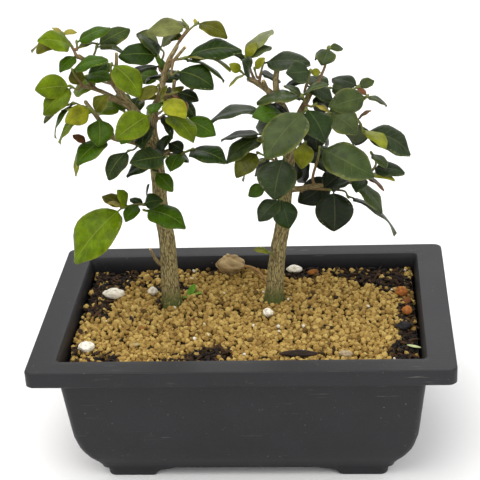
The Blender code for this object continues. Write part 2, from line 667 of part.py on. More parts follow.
def side_stops(half, foot):
    """Places along one side, from end to end, where a foot ends or one of its slopes does."""
    flat = half - foot
    steep = flat - FOOT_SLOPE
    gentle = steep - SKIRT_SLOPE
    return [flat, steep, gentle, -gentle, -steep, -flat]


def ring(half_x, half_y, corner, height, lifted=False):
    """A rounded rectangle of points, seen from above anticlockwise from the right side's middle.

    The points on the straight sides stand where the feet end, so every ring has the same ones.
    In a lifted ring the points between the feet stand higher, by the skirt's clearance there.
    """
    stops_x = side_stops(POT_LENGTH / 2 - RIM_LEDGE_X - TUCK_X, FOOT_LENGTH)
    stops_y = side_stops(POT_WIDTH / 2 - RIM_LEDGE_Y - TUCK_Y, FOOT_LENGTH)
    points = []
    for quarter in range(4):
        turned = quarter % 2 == 1
        stops = stops_x if turned else stops_y
        reach = half_y if turned else half_x
        angle = quarter * math.pi / 2
        cosine, sine = round(math.cos(angle)), round(math.sin(angle))
        for stop, lift in zip(reversed(stops), SKIRT_LIFTS):
            x = reach * cosine - stop * sine
            y = reach * sine + stop * cosine
            points.append((x, y, height + lift if lifted else height))
        centre_x = (half_x - corner) * (1 if quarter in (0, 3) else -1)
        centre_y = (half_y - corner) * (1 if quarter in (0, 1) else -1)
        for turn in np.linspace(angle, angle + math.pi / 2, CORNER_STEPS):
            points.append((centre_x + corner * math.cos(turn), centre_y + corner * math.sin(turn),
                           height))
    return np.array(points)


def body_ring(height, inset=0.0):
    """The body's outline at a height, drawn in by an inset: straight above, tucked in below."""
    tuck = np.interp(height, TUCK_HEIGHTS, TUCK_SHARES)
    return ring(POT_LENGTH / 2 - RIM_LEDGE_X - TUCK_X * tuck - inset,
                POT_WIDTH / 2 - RIM_LEDGE_Y - TUCK_Y * tuck - inset,
                max(BODY_CORNER - inset, 2.0), height)


def make_pot(finish):
    """The pot: feet and skirt, tucked body, flat rim with its skirt, inner wall and floor."""
    length, width = POT_LENGTH / 2, POT_WIDTH / 2
    foot_x = length - RIM_LEDGE_X - TUCK_X
    foot_y = width - RIM_LEDGE_Y - TUCK_Y
    rim_low = POT_HEIGHT - RIM_SKIRT
    plate_low = POT_HEIGHT - RIM_PLATE
    inner_floor = FLOOR_HEIGHT + POT_FLOOR
    under = (foot_x - SKIRT_WALL, foot_y - SKIRT_WALL, BODY_CORNER - SKIRT_WALL)
    rings = [ring(*under, FLOOR_HEIGHT),
             ring(*under, 0.0, lifted=True),
             ring(foot_x - FOOT_BEVEL, foot_y - FOOT_BEVEL, BODY_CORNER, 0.0, lifted=True),
             ring(foot_x, foot_y, BODY_CORNER, FLOOR_HEIGHT - FOOT_BEVEL * 2)]
    rings += [body_ring(height) for height in TUCK_HEIGHTS[:-1]]
    skirt = (length - POT_WALL, width - POT_WALL, RIM_CORNER - POT_WALL)
    rings += [body_ring(plate_low),
              ring(*skirt, plate_low),
              ring(*skirt, rim_low),
              ring(length, width, RIM_CORNER, rim_low),
              ring(length, width, RIM_CORNER, POT_HEIGHT - RIM_ROUND),
              ring(length - RIM_ROUND, width - RIM_ROUND, RIM_CORNER, POT_HEIGHT),
              ring(length - RIM_LEDGE_X, width - RIM_LEDGE_Y, BODY_CORNER, POT_HEIGHT)]
    rings.append(body_ring(plate_low - LIP_DROP, POT_WALL))
    rings += [body_ring(height, POT_WALL) for height in INNER_HEIGHTS]
    rings.append(body_ring(inner_floor, POT_WALL + FLOOR_BEVEL))
    pot = make_object("pot", loft(rings), finish)
    holes = []
    for x in (-DRAIN_SPACING_X / 2, DRAIN_SPACING_X / 2):
        for y in (-DRAIN_SPACING_Y / 2, DRAIN_SPACING_Y / 2):
            points = [(x, y, 0.0), (x, y, inner_floor * 2)]
            drain = tube(points, (DRAIN_RADIUS, DRAIN_RADIUS), DRAIN_SIDES)
            holes.append(make_object("drain_cutter", drain, finish))
    return combine("pot", pot, holes, "DIFFERENCE")


# ---------------------------------------------------------------- soil


def soil_height(x, y):
    """The soil's surface: a low mound with slight uneven waves."""
    across = x / (POT_LENGTH / 2)
    deep = y / (POT_WIDTH / 2)
    mound = SOIL_MOUND * max(1 - across * across - deep * deep, 0.0)
    waves = math.sin(x * 0.21 + 0.7) * math.cos(y * 0.27) + math.sin(x * 0.09 - y * 0.13)
    return SOIL_TOP + mound + SOIL_BUMP * waves / 2


def tree_foot(side):
    """Where a tree's trunk meets the soil: side is -1 for the left tree and 1 for the right."""
    x = TREE_MIDDLE[0] + side * TREE_SPACING / 2
    y = TREE_MIDDLE[1] + side * TREE_STAGGER / 2
    return np.array([x, y, SOIL_TOP])


def make_soil(finish):
    """Soil that fills the pot up to its mound, with a socket round each root stump."""
    inner = POT_WALL + GAP
    base = FLOOR_HEIGHT + POT_FLOOR + GAP
    rings = [body_ring(base, inner + FLOOR_BEVEL)]
    rings += [body_ring(height, inner) for height in reversed(INNER_HEIGHTS)]
    rim = body_ring(SOIL_TOP, inner)
    for share, drop in zip(SURFACE_SHARES, (SOIL_EDGE, 0.0, 0.0, 0.0)):
        flat = rim * (share, share, 1.0)
        flat[:, 2] = [soil_height(x, y) - drop for x, y, _ in flat]
        rings.append(flat)
    soil = make_object("soil", loft(rings), finish)
    sockets = []
    for side in (-1, 1):
        foot = tree_foot(side)
        flare = TRUNK_RADIUS + ROOT_FLARE + 2 * GAP
        points = [foot - (0, 0, ROOT_DEPTH + GAP), foot - (0, 0, ROOT_DEPTH / 4),
                  foot + (0, 0, ROOT_DEPTH)]
        socket = tube(points, (flare - SOCKET_TAPER, flare, flare), SOCKET_SIDES)
        sockets.append(make_object("socket", socket, finish))
    return combine("soil", soil, sockets, "DIFFERENCE")


def lump_points(size, turn):
    """An uneven ball of these sizes, turned about the upright, and its faces."""
    shaper = bmesh.new()
    bmesh.ops.create_icosphere(shaper, subdivisions=2, radius=1.0)
    rotation = Matrix.Rotation(math.radians(turn), 3, "Z")
    points = []
    for vertex in shaper.verts:
        place = vertex.co.normalized()
        bumps = LUMP_UNEVENNESS * math.sin(5 * place.x + turn) * math.cos(4 * place.y - turn)
        corners = LUMP_SQUARENESS * (max(abs(place.x), abs(place.y), abs(place.z)) - 0.8)
        shaped = Vector(np.array(place) * np.array(size) / 2 * (1 + bumps + corners))
        points.append(tuple(rotation @ shaped))
    faces = [[corner.index for corner in face.verts] for face in shaper.faces]
    shaper.free()
    return np.array(points), faces


def make_lump(name, place, size, turn, finish):
    """A stone that lies just clear of the soil, at this share of the free room each way."""
    points, faces = lump_points(size, turn)
    inner = np.array((POT_LENGTH / 2 - RIM_LEDGE_X, POT_WIDTH / 2 - RIM_LEDGE_Y)) - POT_WALL - GAP
    reach = np.abs(points[:, :2]).max(axis=0)
    x, y = np.array(place) * (inner - reach)
    spread = reach.max()
    under = [soil_height(x + spread * along_x, y + spread * along_y)
             for along_x in (-1, 0, 1) for along_y in (-1, 0, 1)]
    lift = max(under) + 1.5 * GAP - points[:, 2].min()
    return make_object(name, (points + (x, y, lift), faces), finish)


# ---------------------------------------------------------------- trees


def limb_solid(foot, limb):
    """A tapering limb; the trunk flares above the soil and goes on down as a root stump."""
    points, thick, thin = limb
    points = foot + STRETCH * np.array(points, float)
    radii = np.linspace(thick, thin, len(points))
    if tuple(limb[0][0]) == (0, 0, 0):
        points = np.vstack([foot - (0, 0, ROOT_DEPTH), foot - (0, 0, 3.0), foot + (0, 0, 1.0),
                            foot + (0, 0, 6.0), points[1:]])
        buried = (thick - STUMP_TAPER, thick + ROOT_FLARE * 0.7, thick + ROOT_FLARE, thick)
        radii = np.concatenate([buried, radii[1:]])
    return tube(points, radii, TRUNK_SIDES if thick > THICK_LIMB else LIMB_SIDES)


def make_wood(name, foot, limbs, finish):
    """A tree's grown wood: trunk, boughs, branches and cut stubs, joined into one body."""
    pieces = [make_object(name + "_" + limb, limb_solid(foot, limbs[limb]), finish)
              for limb in limbs]
    wood = combine(name, pieces[0], pieces[1:], "UNION")
    wood.name = name
    return wood


def nearest_on_wood(foot, limbs, point):
    """The nearest point to this one on the centre lines of a tree's limbs."""
    best = None
    for points, _, _ in limbs.values():
        line = foot + STRETCH * np.array(points, float)
        for start, end in zip(line[:-1], line[1:]):
            step = end - start
            share = np.clip((point - start) @ step / (step @ step), 0, 1)
            near = start + step * share
            if best is None or np.linalg.norm(near - point) < np.linalg.norm(best - point):
                best = near
    return best


def twig_start(path, search):
    """How far along a path, as a share, a twig's square end first stands clear of the wood."""
    for share in np.arange(0.0, 0.9, 0.005):
        point = along(path, share)
        ahead = unit(along(path, share + 0.02) - point)
        across = unit(np.cross(ahead, OFF_AXIS))
        other = np.cross(ahead, across)
        rim = [point + TWIG_RADIUS * STRETCH * 1.05 * (across * math.cos(a) + other * math.sin(a))
               for a in np.arange(6) * math.pi / 3]
        near = min(search.find_nearest(Vector(p))[3] for p in rim)
        if near > GAP and not inside(search, point):
            return share
    return 0.9


class Planting:
    """Keeps what is already placed, and turns each new leaf until it stands clear of it."""

    def __init__(self):
        self.placed = []

    def add(self, owner, search, points):
        """Note a placed solid: the spray or wood it belongs to, its search tree and its points."""
        self.placed.append((owner, points.min(axis=0), points.max(axis=0), search))

    def clear(self, spray, whole, blade):
        """Whether a leaf is clear of other pieces, and its blade clear of its own spray."""
        tests = {True: (whole[0], tree_of(whole)), False: (blade[0], tree_of(blade))}
        for owner, low, high, search in self.placed:
            points, shape = tests[owner != spray]
            if (points.min(axis=0) > high).any() or (points.max(axis=0) < low).any():
                continue
            if shape.overlap(search):
                return False
        return True

    def settle(self, spray, base, tip, width, roll):
        """The tip nearest to the wanted one at which the leaf stands clear."""
        reach = Vector(tip - base)
        side = Vector(unit(np.cross(reach, (0, 0, 1))))
        for turn, tilt in sorted(product(TURNS, TILTS), key=lambda pair: sum(map(abs, pair))):
            turned = Matrix.Rotation(math.radians(turn), 3, "Z")
            tilted = Matrix.Rotation(math.radians(tilt), 3, side)
            moved = base + np.array(turned @ (tilted @ reach))
            whole = leaf_solid(base, moved, width, roll, swell=LEAF_ROOM)
            blade = leaf_solid(base, moved, width, roll, start=BLADE_START)
            if self.clear(spray, whole, blade):
                return moved
        return tip


def nearest_share(line, point):
    """The point of a twig nearest to this one, no closer to its start than an eighth of it."""
    shares = np.linspace(0.12, 1.0, 45)
    places = np.array([along(line, share) for share in shares])
    return places[np.argmin(np.linalg.norm(places - point, axis=1))]


def twig_line(foot, limbs, search, points):
    """A twig's path from just off the wood, on the way from the nearest limb to its points."""
    root = nearest_on_wood(foot, limbs, points[0])
    path = [root] + points if np.linalg.norm(root - points[0]) > TWIG_RADIUS * STRETCH / 2 else points
    share = twig_start(path, search)
    steps = np.linalg.norm(np.diff(np.array(path), axis=0), axis=1)
    passed = np.concatenate(([0.0], np.cumsum(steps)))
    kept = [point for point, at in zip(path, passed) if at > share * passed[-1] + 0.8]
    return [along(path, share)] + kept


def make_spray(name, foot, limbs, search, twigs, planting, finish):
    """A spray: its twigs and leaves fused into one body that starts just off the wood."""
    solids = []
    for part in twigs:
        points = [foot + STRETCH * np.array(point, float) for point in part["points"]]
        if part["fork"] is None:
            first = points
            stem = line = twig_line(foot, limbs, search, points)
        else:
            points = [along(first, part["fork"])] + points
            line = [nearest_share(stem, points[0])] + points[1:]
        radii = np.linspace(TWIG_RADIUS, TWIG_RADIUS * TWIG_TAPER, len(line)) * STRETCH
        solids.append(tube(line, radii, TWIG_SIDES))
        for item in part["leaves"]:
            base = nearest_share(line, along(points, item["at"]))
            tip = foot + STRETCH * np.array(item["tip"], float)
            width = item["width"] * STRETCH
            tip = planting.settle(name, base, tip, width, item["roll"])
            solids.append(leaf_solid(base, tip, width, item["roll"]))
            planting.add(name, tree_of(solids[-1]), solids[-1][0])
    for solid in solids:
        planting.add(name, tree_of(solid), np.asarray(solid[0]))
    pieces = [make_object(name, solid, finish) for solid in solids]
    spray = combine(name, pieces[0], pieces[1:], "UNION")
    spray.name = name
    return spray


def main():
    """Build the pot, the soil and what lies on it, and both trees."""
    start_empty()
    plastic = material("dark_plastic", (0.055, 0.050, 0.050), 0.55)
    earth = material("soil_grains", (0.42, 0.30, 0.16), 0.95)
    bark = material("bark", (0.16, 0.12, 0.08), 0.85)
    left_green = material("left_leaf", (0.07, 0.16, 0.02), 0.40)
    right_green = material("right_leaf", (0.045, 0.09, 0.03), 0.42)
    make_pot(plastic)
    make_soil(earth)
    for name, place, size, turn, color in STONES:
        make_lump(name, place, size, turn, material(name, color, 0.9))
    planting = Planting()
    trees = (("left", -1, LEFT_WOOD, left_green), ("right", 1, RIGHT_WOOD, right_green))
    searches = {}
    for side, sign, limbs, _ in trees:
        made = make_wood(side + "_tree_wood", tree_foot(sign), limbs, bark)
        searches[side] = object_tree(made)
        points = np.array([vertex.co / MM for vertex in made.data.vertices])
        planting.add(made.name, searches[side], points)
    for side, sign, limbs, green in trees:
        for name, twigs in SPRAYS.items():
            if name.startswith(side):
                make_spray(name, tree_foot(sign), limbs, searches[side], twigs, planting, green)


if __name__ == "__main__":
    main()
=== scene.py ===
"""Looks of two small broad-leaved trees that grow side by side in one rectangular training pot.

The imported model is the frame: the origin is the middle of the pot's footprint, +X runs along the
pot, +Y to its back and +Z up. Sizes are millimetres here and become metres when a mesh is made.
Every piece rides on the one body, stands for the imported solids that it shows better, and carries
its own finish. Trees are drawn by tables of limbs, twigs and leaves measured from each trunk's
foot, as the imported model's are.
"""

from __future__ import annotations

import logging
import math
from dataclasses import dataclass, field
from enum import Enum
from itertools import product
from typing import Any, Sequence

import bpy
import numpy as np
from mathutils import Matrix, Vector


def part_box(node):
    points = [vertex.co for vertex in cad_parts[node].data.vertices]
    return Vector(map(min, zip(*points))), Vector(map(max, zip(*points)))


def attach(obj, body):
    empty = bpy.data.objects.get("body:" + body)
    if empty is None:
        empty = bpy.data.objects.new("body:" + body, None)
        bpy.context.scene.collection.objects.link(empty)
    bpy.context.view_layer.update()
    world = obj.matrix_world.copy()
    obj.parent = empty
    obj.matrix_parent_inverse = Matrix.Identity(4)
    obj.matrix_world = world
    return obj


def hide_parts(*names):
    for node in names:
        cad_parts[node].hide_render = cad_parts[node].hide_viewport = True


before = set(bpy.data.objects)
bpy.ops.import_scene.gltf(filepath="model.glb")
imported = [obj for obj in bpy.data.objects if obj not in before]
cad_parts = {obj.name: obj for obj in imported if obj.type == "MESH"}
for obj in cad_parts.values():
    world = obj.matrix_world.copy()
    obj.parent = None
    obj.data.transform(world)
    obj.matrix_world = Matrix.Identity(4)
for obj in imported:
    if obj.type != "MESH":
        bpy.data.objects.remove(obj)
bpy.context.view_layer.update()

Array = np.ndarray
Color = tuple[float, float, float]
MM = 0.001                    # metres in a millimetre
BODY = "root"                 # the one body that everything rides on
log = logging.getLogger("planting")


# ---------------------------------------------------------------- numbers and curves


def display(red: int, green: int, blue: int) -> Color:
    """The linear colour of a display colour, whose parts run from 0 to 255."""
    return tuple(((part / 255 + 0.055) / 1.055) ** 2.4 if part > 10 else part / 3295
                 for part in (red, green, blue))


def unit(vector: Array) -> Array:
    """Vectors at length one, along the last axis."""
    vector = np.asarray(vector, float)
    return vector / np.maximum(np.linalg.norm(vector, axis=-1, keepdims=True), 1e-9)


def ease(low: float, high: float, value: Array) -> Array:
    """Smooth step: 0 below low, 1 above high, and 3t^2 - 2t^3 between."""
    share = np.clip((np.asarray(value, float) - low) / (high - low), 0.0, 1.0)
    return share * share * (3 - 2 * share)


def value_noise(points: Array, cell: float, seed: int) -> Array:
    """Random numbers from -1 to 1 on a cubic lattice, blended smoothly between its corners.

    Args:
        points: Places, with x, y and z on the last axis.
        cell: Spacing of the lattice, in the unit of the points.
        seed: Picks the lattice's numbers.

    Returns:
        One number for each point.
    """
    table = np.random.default_rng(seed).uniform(-1, 1, (32, 32, 32))
    place = np.asarray(points, float) / cell
    low = np.floor(place).astype(int)
    share = place - low
    share = share * share * (3 - 2 * share)
    total = np.zeros(place.shape[:-1])
    for corner in product((0, 1), repeat=3):
        index = (low + corner) % 32
        weight = np.prod(np.where(corner, share, 1 - share), axis=-1)
        total += weight * table[index[..., 0], index[..., 1], index[..., 2]]
    return total


def along(points: Array, share: float) -> Array:
    """The point at this share of a polyline's length."""
    points = np.asarray(points, float)
    steps = np.linalg.norm(np.diff(points, axis=0), axis=1)
    reach = np.concatenate(([0.0], np.cumsum(steps)))
    return np.array([np.interp(share * reach[-1], reach, points[:, axis]) for axis in range(3)])


def smooth_path(points: Array, spacing: float) -> Array:
    """A Catmull-Rom curve through the points, sampled at about this spacing.

    Each stretch is the cubic 0.5 (2b + (c - a)t + (2a - 5b + 4c - d)t^2 + (3b - a - 3c + d)t^3)
    of its two ends b and c and their neighbours a and d.
    """
    points = np.asarray(points, float)
    length = np.linalg.norm(np.diff(points, axis=0), axis=1).sum()
    count = max(int(length / spacing), 3)
    ends = np.vstack([2 * points[0] - points[1], points, 2 * points[-1] - points[-2]])
    place = np.linspace(0, len(points) - 1, count + 1)
    index = np.minimum(place.astype(int), len(points) - 2)
    t = (place - index)[:, None]
    a, b, c, d = (ends[index + step] for step in range(4))
    return 0.5 * (2 * b + (c - a) * t + (2 * a - 5 * b + 4 * c - d) * t ** 2
                  + (3 * b - a - 3 * c + d) * t ** 3)


def carried_frames(path: Array) -> tuple[Array, Array]:
    """Two directions square to a path at each point, carried along it without twisting."""
    ahead = unit(np.gradient(path, axis=0))
    across = unit(np.cross(ahead[0], (0.31, 0.89, 0.33)))
    first = []
    for direction in ahead:
        across = unit(across - direction * (across @ direction))
        first.append(across)
    first = np.array(first)
    return first, np.cross(ahead, first)


# ---------------------------------------------------------------- surfaces


@dataclass
class Surface:
    """Points in millimetres, their quads and triangles, and named values at each point."""

    points: Array
    quads: Array
    triangles: Array = field(default_factory=lambda: np.zeros((0, 3), int))
    values: dict[str, Array] = field(default_factory=dict)


def joined(surfaces: Sequence[Surface]) -> Surface:
    """Several surfaces as one, with their values one after another."""
    starts = np.cumsum([0] + [len(surface.points) for surface in surfaces[:-1]])
    return Surface(
        np.concatenate([surface.points for surface in surfaces]),
        np.concatenate([surface.quads + start for surface, start in zip(surfaces, starts)]),
        np.concatenate([surface.triangles + start for surface, start in zip(surfaces, starts)]),
        {name: np.concatenate([surface.values[name] for surface in surfaces])
         for name in surfaces[0].values})


def grid_around(rows: int, columns: int) -> Array:
    """Quads of a grid of points whose columns close round, for rows laid one after another."""
    row, column = np.meshgrid(np.arange(rows - 1), np.arange(columns), indexing="ij")
    start = row * columns + column
    beside = row * columns + (column + 1) % columns
    return np.stack([start, beside, beside + columns, start + columns], axis=-1).reshape(-1, 4)


def closed_loft(rings: Array, values: dict[str, Array]) -> Surface:
    """Rings of points skinned in order, each end closed by a fan round its own middle.

    Args:
        rings: Points as rings by places by xyz, anticlockwise seen from the last ring.
        values: Values as rings by places, or rings by places by parts.

    Returns:
        A closed surface whose faces point outwards.
    """
    rows, columns, _ = rings.shape
    points = rings.reshape(-1, 3)
    points = np.vstack([points, rings[0].mean(axis=0), rings[-1].mean(axis=0)])
    turn = np.arange(columns)
    after = (turn + 1) % columns
    start = (rows - 1) * columns
    bottom = np.stack([after, turn, np.full(columns, rows * columns)], axis=-1)
    top = np.stack([start + turn, start + after, np.full(columns, rows * columns + 1)], axis=-1)
    kept = {}
    for name, value in values.items():
        flat = value.reshape(rows * columns, -1)
        ends = [ring.reshape(columns, -1).mean(axis=0) for ring in (value[0], value[-1])]
        kept[name] = np.vstack([flat, ends])
    return Surface(points, grid_around(rows, columns), np.concatenate([bottom, top]), kept)


def sweep(path: Array, radius: Array, values: dict[str, Array] | None = None) -> Surface:
    """A tube: point = path + radius (cos angle, sin angle) in the path's carried directions.

    Args:
        path: Middle line, one point a ring.
        radius: Radius of each ring by angle.
        values: Values by ring and angle.

    Returns:
        The tube, closed at both ends.
    """
    across, other = carried_frames(path)
    angle = np.arange(radius.shape[1]) * (2 * math.pi / radius.shape[1])
    spread = (np.cos(angle)[None, :, None] * across[:, None]
              + np.sin(angle)[None, :, None] * other[:, None])
    return closed_loft(path[:, None] + radius[..., None] * spread, values or {})


def ball_grid(rows: int, columns: int) -> Array:
    """Directions over a ball as rows by columns: height cos(pi row), round by column."""
    polar = np.linspace(0.12, math.pi - 0.12, rows)[::-1, None]
    turn = np.arange(columns)[None, :] * (2 * math.pi / columns)
    return np.stack([np.sin(polar) * np.cos(turn), np.sin(polar) * np.sin(turn),
                     np.cos(polar) * np.ones_like(turn)], axis=-1)


def crumb() -> tuple[Array, Array]:
    """Directions to the 26 points of a cube whose faces are cut in four, and its 24 quads."""
    places = [np.array(place) for place in product((-1, 0, 1), repeat=3) if any(place)]
    index = {tuple(place): number for number, place in enumerate(places)}
    quads = []
    for axis, side in product(range(3), (-1, 1)):
        first, second = (axis + 1) % 3, (axis + 2) % 3
        for low, high in product((-1, 0), repeat=2):
            corners = []
            for a, b in ((low, high), (low + 1, high), (low + 1, high + 1), (low, high + 1)):
                place = [0, 0, 0]
                place[axis], place[first], place[second] = side, a, b
                corners.append(index[tuple(place)])
            quads.append(corners if side > 0 else corners[::-1])
    return unit(np.array(places)), np.array(quads)


def make_piece(name: str, surface: Surface, finish: bpy.types.Material,
               replaces: Sequence[str] = (), crease: float | None = 40.0) -> bpy.types.Object:
    """Makes one piece of the model, in place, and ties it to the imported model.

    Args:
        name: Name of the piece.
        surface: Its closed surface, in millimetres.
        finish: Its material.
        replaces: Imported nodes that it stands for.
        crease: Edges sharper than this, in degrees, stay sharp; None leaves every face flat.

    Returns:
        The new object.
    """
    mesh = bpy.data.meshes.new(name)
    mesh.from_pydata((surface.points * MM).tolist(), [],
                     surface.quads.tolist() + surface.triangles.tolist())
    for key, value in surface.values.items():
        kind, part = {1: ("FLOAT", "value"), 3: ("FLOAT_VECTOR", "vector")}[value.shape[1]]
        layer = mesh.attributes.new(key, kind, "POINT")
        layer.data.foreach_set(part, value.astype(np.float32).ravel())
    mesh.materials.append(finish)
    if crease is not None:
        mesh.shade_smooth()
        mesh.set_sharp_from_angle(angle=math.radians(crease))
    piece = bpy.data.objects.new(name, mesh)
    bpy.context.collection.objects.link(piece)
    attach(piece, BODY)
    if replaces:
        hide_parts(*replaces)
    log.info("%s: %d points", name, len(surface.points))
    return piece


# ---------------------------------------------------------------- shader expressions


class Value:
    """A shader socket that takes part in arithmetic: an expression on it adds its Math nodes."""

    def __init__(self, graph: "Graph", socket: bpy.types.NodeSocket) -> None:
        self.graph = graph
        self.socket = socket

    def math(self, operation: str, *others: Any) -> "Value":
        """A Math node on this value and others."""
        return self.graph.node("ShaderNodeMath", {"operation": operation},
                               dict(enumerate((self, *others))))

    def __add__(self, other: Any) -> "Value":
        """This value and another, added."""
        return self.math("ADD", other)

    __radd__ = __add__

    def __mul__(self, other: Any) -> "Value":
        """This value times another."""
        return self.math("MULTIPLY", other)

    __rmul__ = __mul__

    def __sub__(self, other: Any) -> "Value":
        """This value less another."""
        return self.math("SUBTRACT", other)

    def __rsub__(self, other: Any) -> "Value":
        """Another value less this one."""
        return self.graph.node("ShaderNodeMath", {"operation": "SUBTRACT"}, {0: other, 1: self})

    def __abs__(self) -> "Value":
        """This value without its sign."""
        return self.math("ABSOLUTE")

    def fraction(self) -> "Value":
        """What is left of this value above the whole number below it."""
        return self.math("FRACT")

    def step(self, low: float, high: float) -> "Value":
        """Smooth step of this value from 0 at low to 1 at high; it falls where high is lower."""
        return self.graph.node("ShaderNodeMapRange", {"interpolation_type": "SMOOTHSTEP"},
                               {"Value": self, "From Min": low, "From Max": high})


class Graph:
    """The node tree of one material, and the few ways its nodes are made."""

    def __init__(self, name: str, constants: dict[str, float]) -> None:
        """Starts a material whose Principled shader has these constants, by socket name."""
        self.material = bpy.data.materials.new(name)
        self.material.use_nodes = True
        self.tree = self.material.node_tree
        self.shader = self.tree.nodes["Principled BSDF"]
        for socket, value in constants.items():
            self.shader.inputs[socket].default_value = value
        self.place = self.node("ShaderNodeTexCoord", output="Object")

    def node(self, kind: str, settings: dict[str, Any] | None = None,
             inputs: dict[Any, Any] | None = None, output: Any = 0) -> Value:
        """Makes any node.

        Args:
            kind: The node's type.
            settings: Its settings, which are set first.
            inputs: Values or links of its sockets, by name or number.
            output: Name or number of the socket that is returned.
        """
        made = self.tree.nodes.new(kind)
        for key, value in (settings or {}).items():
            setattr(made, key, value)
        for key, value in (inputs or {}).items():
            self.feed(made.inputs[key], value)
        return Value(self, made.outputs[output])

    def feed(self, socket: bpy.types.NodeSocket, value: Any) -> None:
        """Links a value to a socket, or sets the socket's own value."""
        if isinstance(value, Value):
            self.tree.links.new(value.socket, socket)
        elif isinstance(value, tuple) and socket.type == "RGBA":
            socket.default_value = (*value, 1.0)
        else:
            socket.default_value = value

    def noise(self, size: float, detail: float = 3.0, roughness: float = 0.55,
              at: Value | None = None) -> Value:
        """Noise from 0 to 1 with features of about this size in millimetres."""
        return self.node("ShaderNodeTexNoise", {}, {"Vector": at or self.place,
                         "Scale": 1 / (size * MM), "Detail": detail, "Roughness": roughness})

    def cells(self, size: float, at: Value | None = None, feature: str = "F1") -> Value:
        """Distance in Voronoi cells of about this size in millimetres."""
        return self.node("ShaderNodeTexVoronoi", {"feature": feature},
                         {"Vector": at or self.place, "Scale": 1 / (size * MM)}, "Distance")

    def mix(self, share: Any, first: Any, second: Any) -> Value:
        """A colour between two, by a share from 0 to 1."""
        return self.node("ShaderNodeMix", {"data_type": "RGBA"},
                         {0: share, 6: first, 7: second}, 2)

    def tinted(self, color: Any, factor: Value) -> Value:
        """A colour made lighter or darker by a factor."""
        return self.node("ShaderNodeVectorMath", {"operation": "SCALE"},
                         {"Vector": color, "Scale": factor})

    def attribute(self, name: str, output: str = "Vector") -> Value:
        """A value kept at the mesh's points."""
        return self.node("ShaderNodeAttribute", {"attribute_name": name}, {}, output)

    def parts(self, vector: Value) -> tuple[Value, Value, Value]:
        """The x, y and z of a vector."""
        split = self.node("ShaderNodeSeparateXYZ", {}, {0: vector})
        return tuple(Value(self, socket) for socket in split.socket.node.outputs)

    def stretched(self, by: Sequence[float], at: Value | None = None) -> Value:
        """Coordinates multiplied along x, y and z, which draws a pattern out where it is small."""
        return self.node("ShaderNodeVectorMath", {"operation": "MULTIPLY"},
                         {0: at or self.place, 1: tuple(by)})

    def bump(self, height: Value, strength: float, depth: float) -> None:
        """Raises the surface by a height from 0 to 1, times this depth in millimetres."""
        normal = self.node("ShaderNodeBump", {}, {"Height": height, "Strength": strength,
                                                  "Distance": depth * MM})
        self.feed(self.shader.inputs["Normal"], normal)

    def finish(self, color: Any, roughness: Any) -> bpy.types.Material:
        """Feeds the shader's colour and roughness, and gives the material."""
        self.feed(self.shader.inputs["Base Color"], color)
        self.feed(self.shader.inputs["Roughness"], roughness)
        return self.material


# ---------------------------------------------------------------- finishes


@dataclass(frozen=True)
class PotPlastic:
    """Dark moulded plastic with a fine grain, faint dust, a paler top flat that is dust and
    painted light, and pale scuffs on its edges.
    """

    base: Color = display(29, 28, 31)
    dust_and_lit_top: Color = display(112, 112, 108)
    scuffed: Color = display(158, 154, 144)
    earth: Color = display(120, 98, 66)

    def make(self) -> bpy.types.Material:
        """Reads the points' "use": x is wear, y is dust, full on the top flat where it is also
        painted light, and z soil stain.
        """
        graph = Graph("dark_plastic", {"Specular IOR Level": 0.3})
        wear, dust_and_lit_top_mask, stain = graph.parts(graph.attribute("use"))
        cloud = graph.noise(28, 4)
        grain = graph.noise(0.7, 2)
        speck = graph.cells(3.2).step(0.15, 0.05) * graph.noise(9, 2).step(0.54, 0.66)
        drawn = graph.stretched((0.05, 0.4, 1.2))
        scratch = graph.noise(0.9, 2, at=drawn).step(0.66, 0.76) * graph.noise(24).step(0.48, 0.7)
        worn = (wear * 1.6 + graph.noise(2.4, 5, 0.75) * 2.0 - 1.22).step(0.02, 0.6)
        color = graph.tinted(self.base, cloud * 0.9 + grain * 0.5 + 0.3)
        # Paler grey: faint dust on the sides; on the top flat, dust and painted light that
        # lightens the rim top.
        color = graph.mix(dust_and_lit_top_mask * (cloud * 0.8 + 0.3), color, self.dust_and_lit_top)
        color = graph.mix(stain * graph.noise(3.5, 4).step(0.42, 0.62) * 0.7, color, self.earth)
        color = graph.mix(speck * 0.28, color, self.scuffed)
        color = graph.mix(scratch * 0.28, color, self.scuffed)
        color = graph.mix(worn * 0.75, color, self.scuffed)
        graph.bump(grain + scratch * 0.6 + worn * 0.8, 0.35, 0.25)
        return graph.finish(color, cloud * 0.16 + worn * 0.2 + dust_and_lit_top_mask * 0.1 + 0.40)


@dataclass(frozen=True)
class Granule:
    """Fired clay or mineral crumbs, each with its own tint, pitted and dusty."""

    name: str
    pit: float = 0.5
    depth: float = 0.35

    def make(self) -> bpy.types.Material:
        """Reads the points' "tint"."""
        graph = Graph(self.name, {"Specular IOR Level": 0.25})
        tint = graph.attribute("tint", "Color")
        spots = graph.noise(self.pit * 1.6, 3)
        pits = graph.noise(self.pit, 3, 0.6)
        color = graph.tinted(tint, spots * 0.55 + 0.74)
        graph.bump(pits, 0.6, self.depth)
        return graph.finish(color, pits * 0.15 + 0.82)


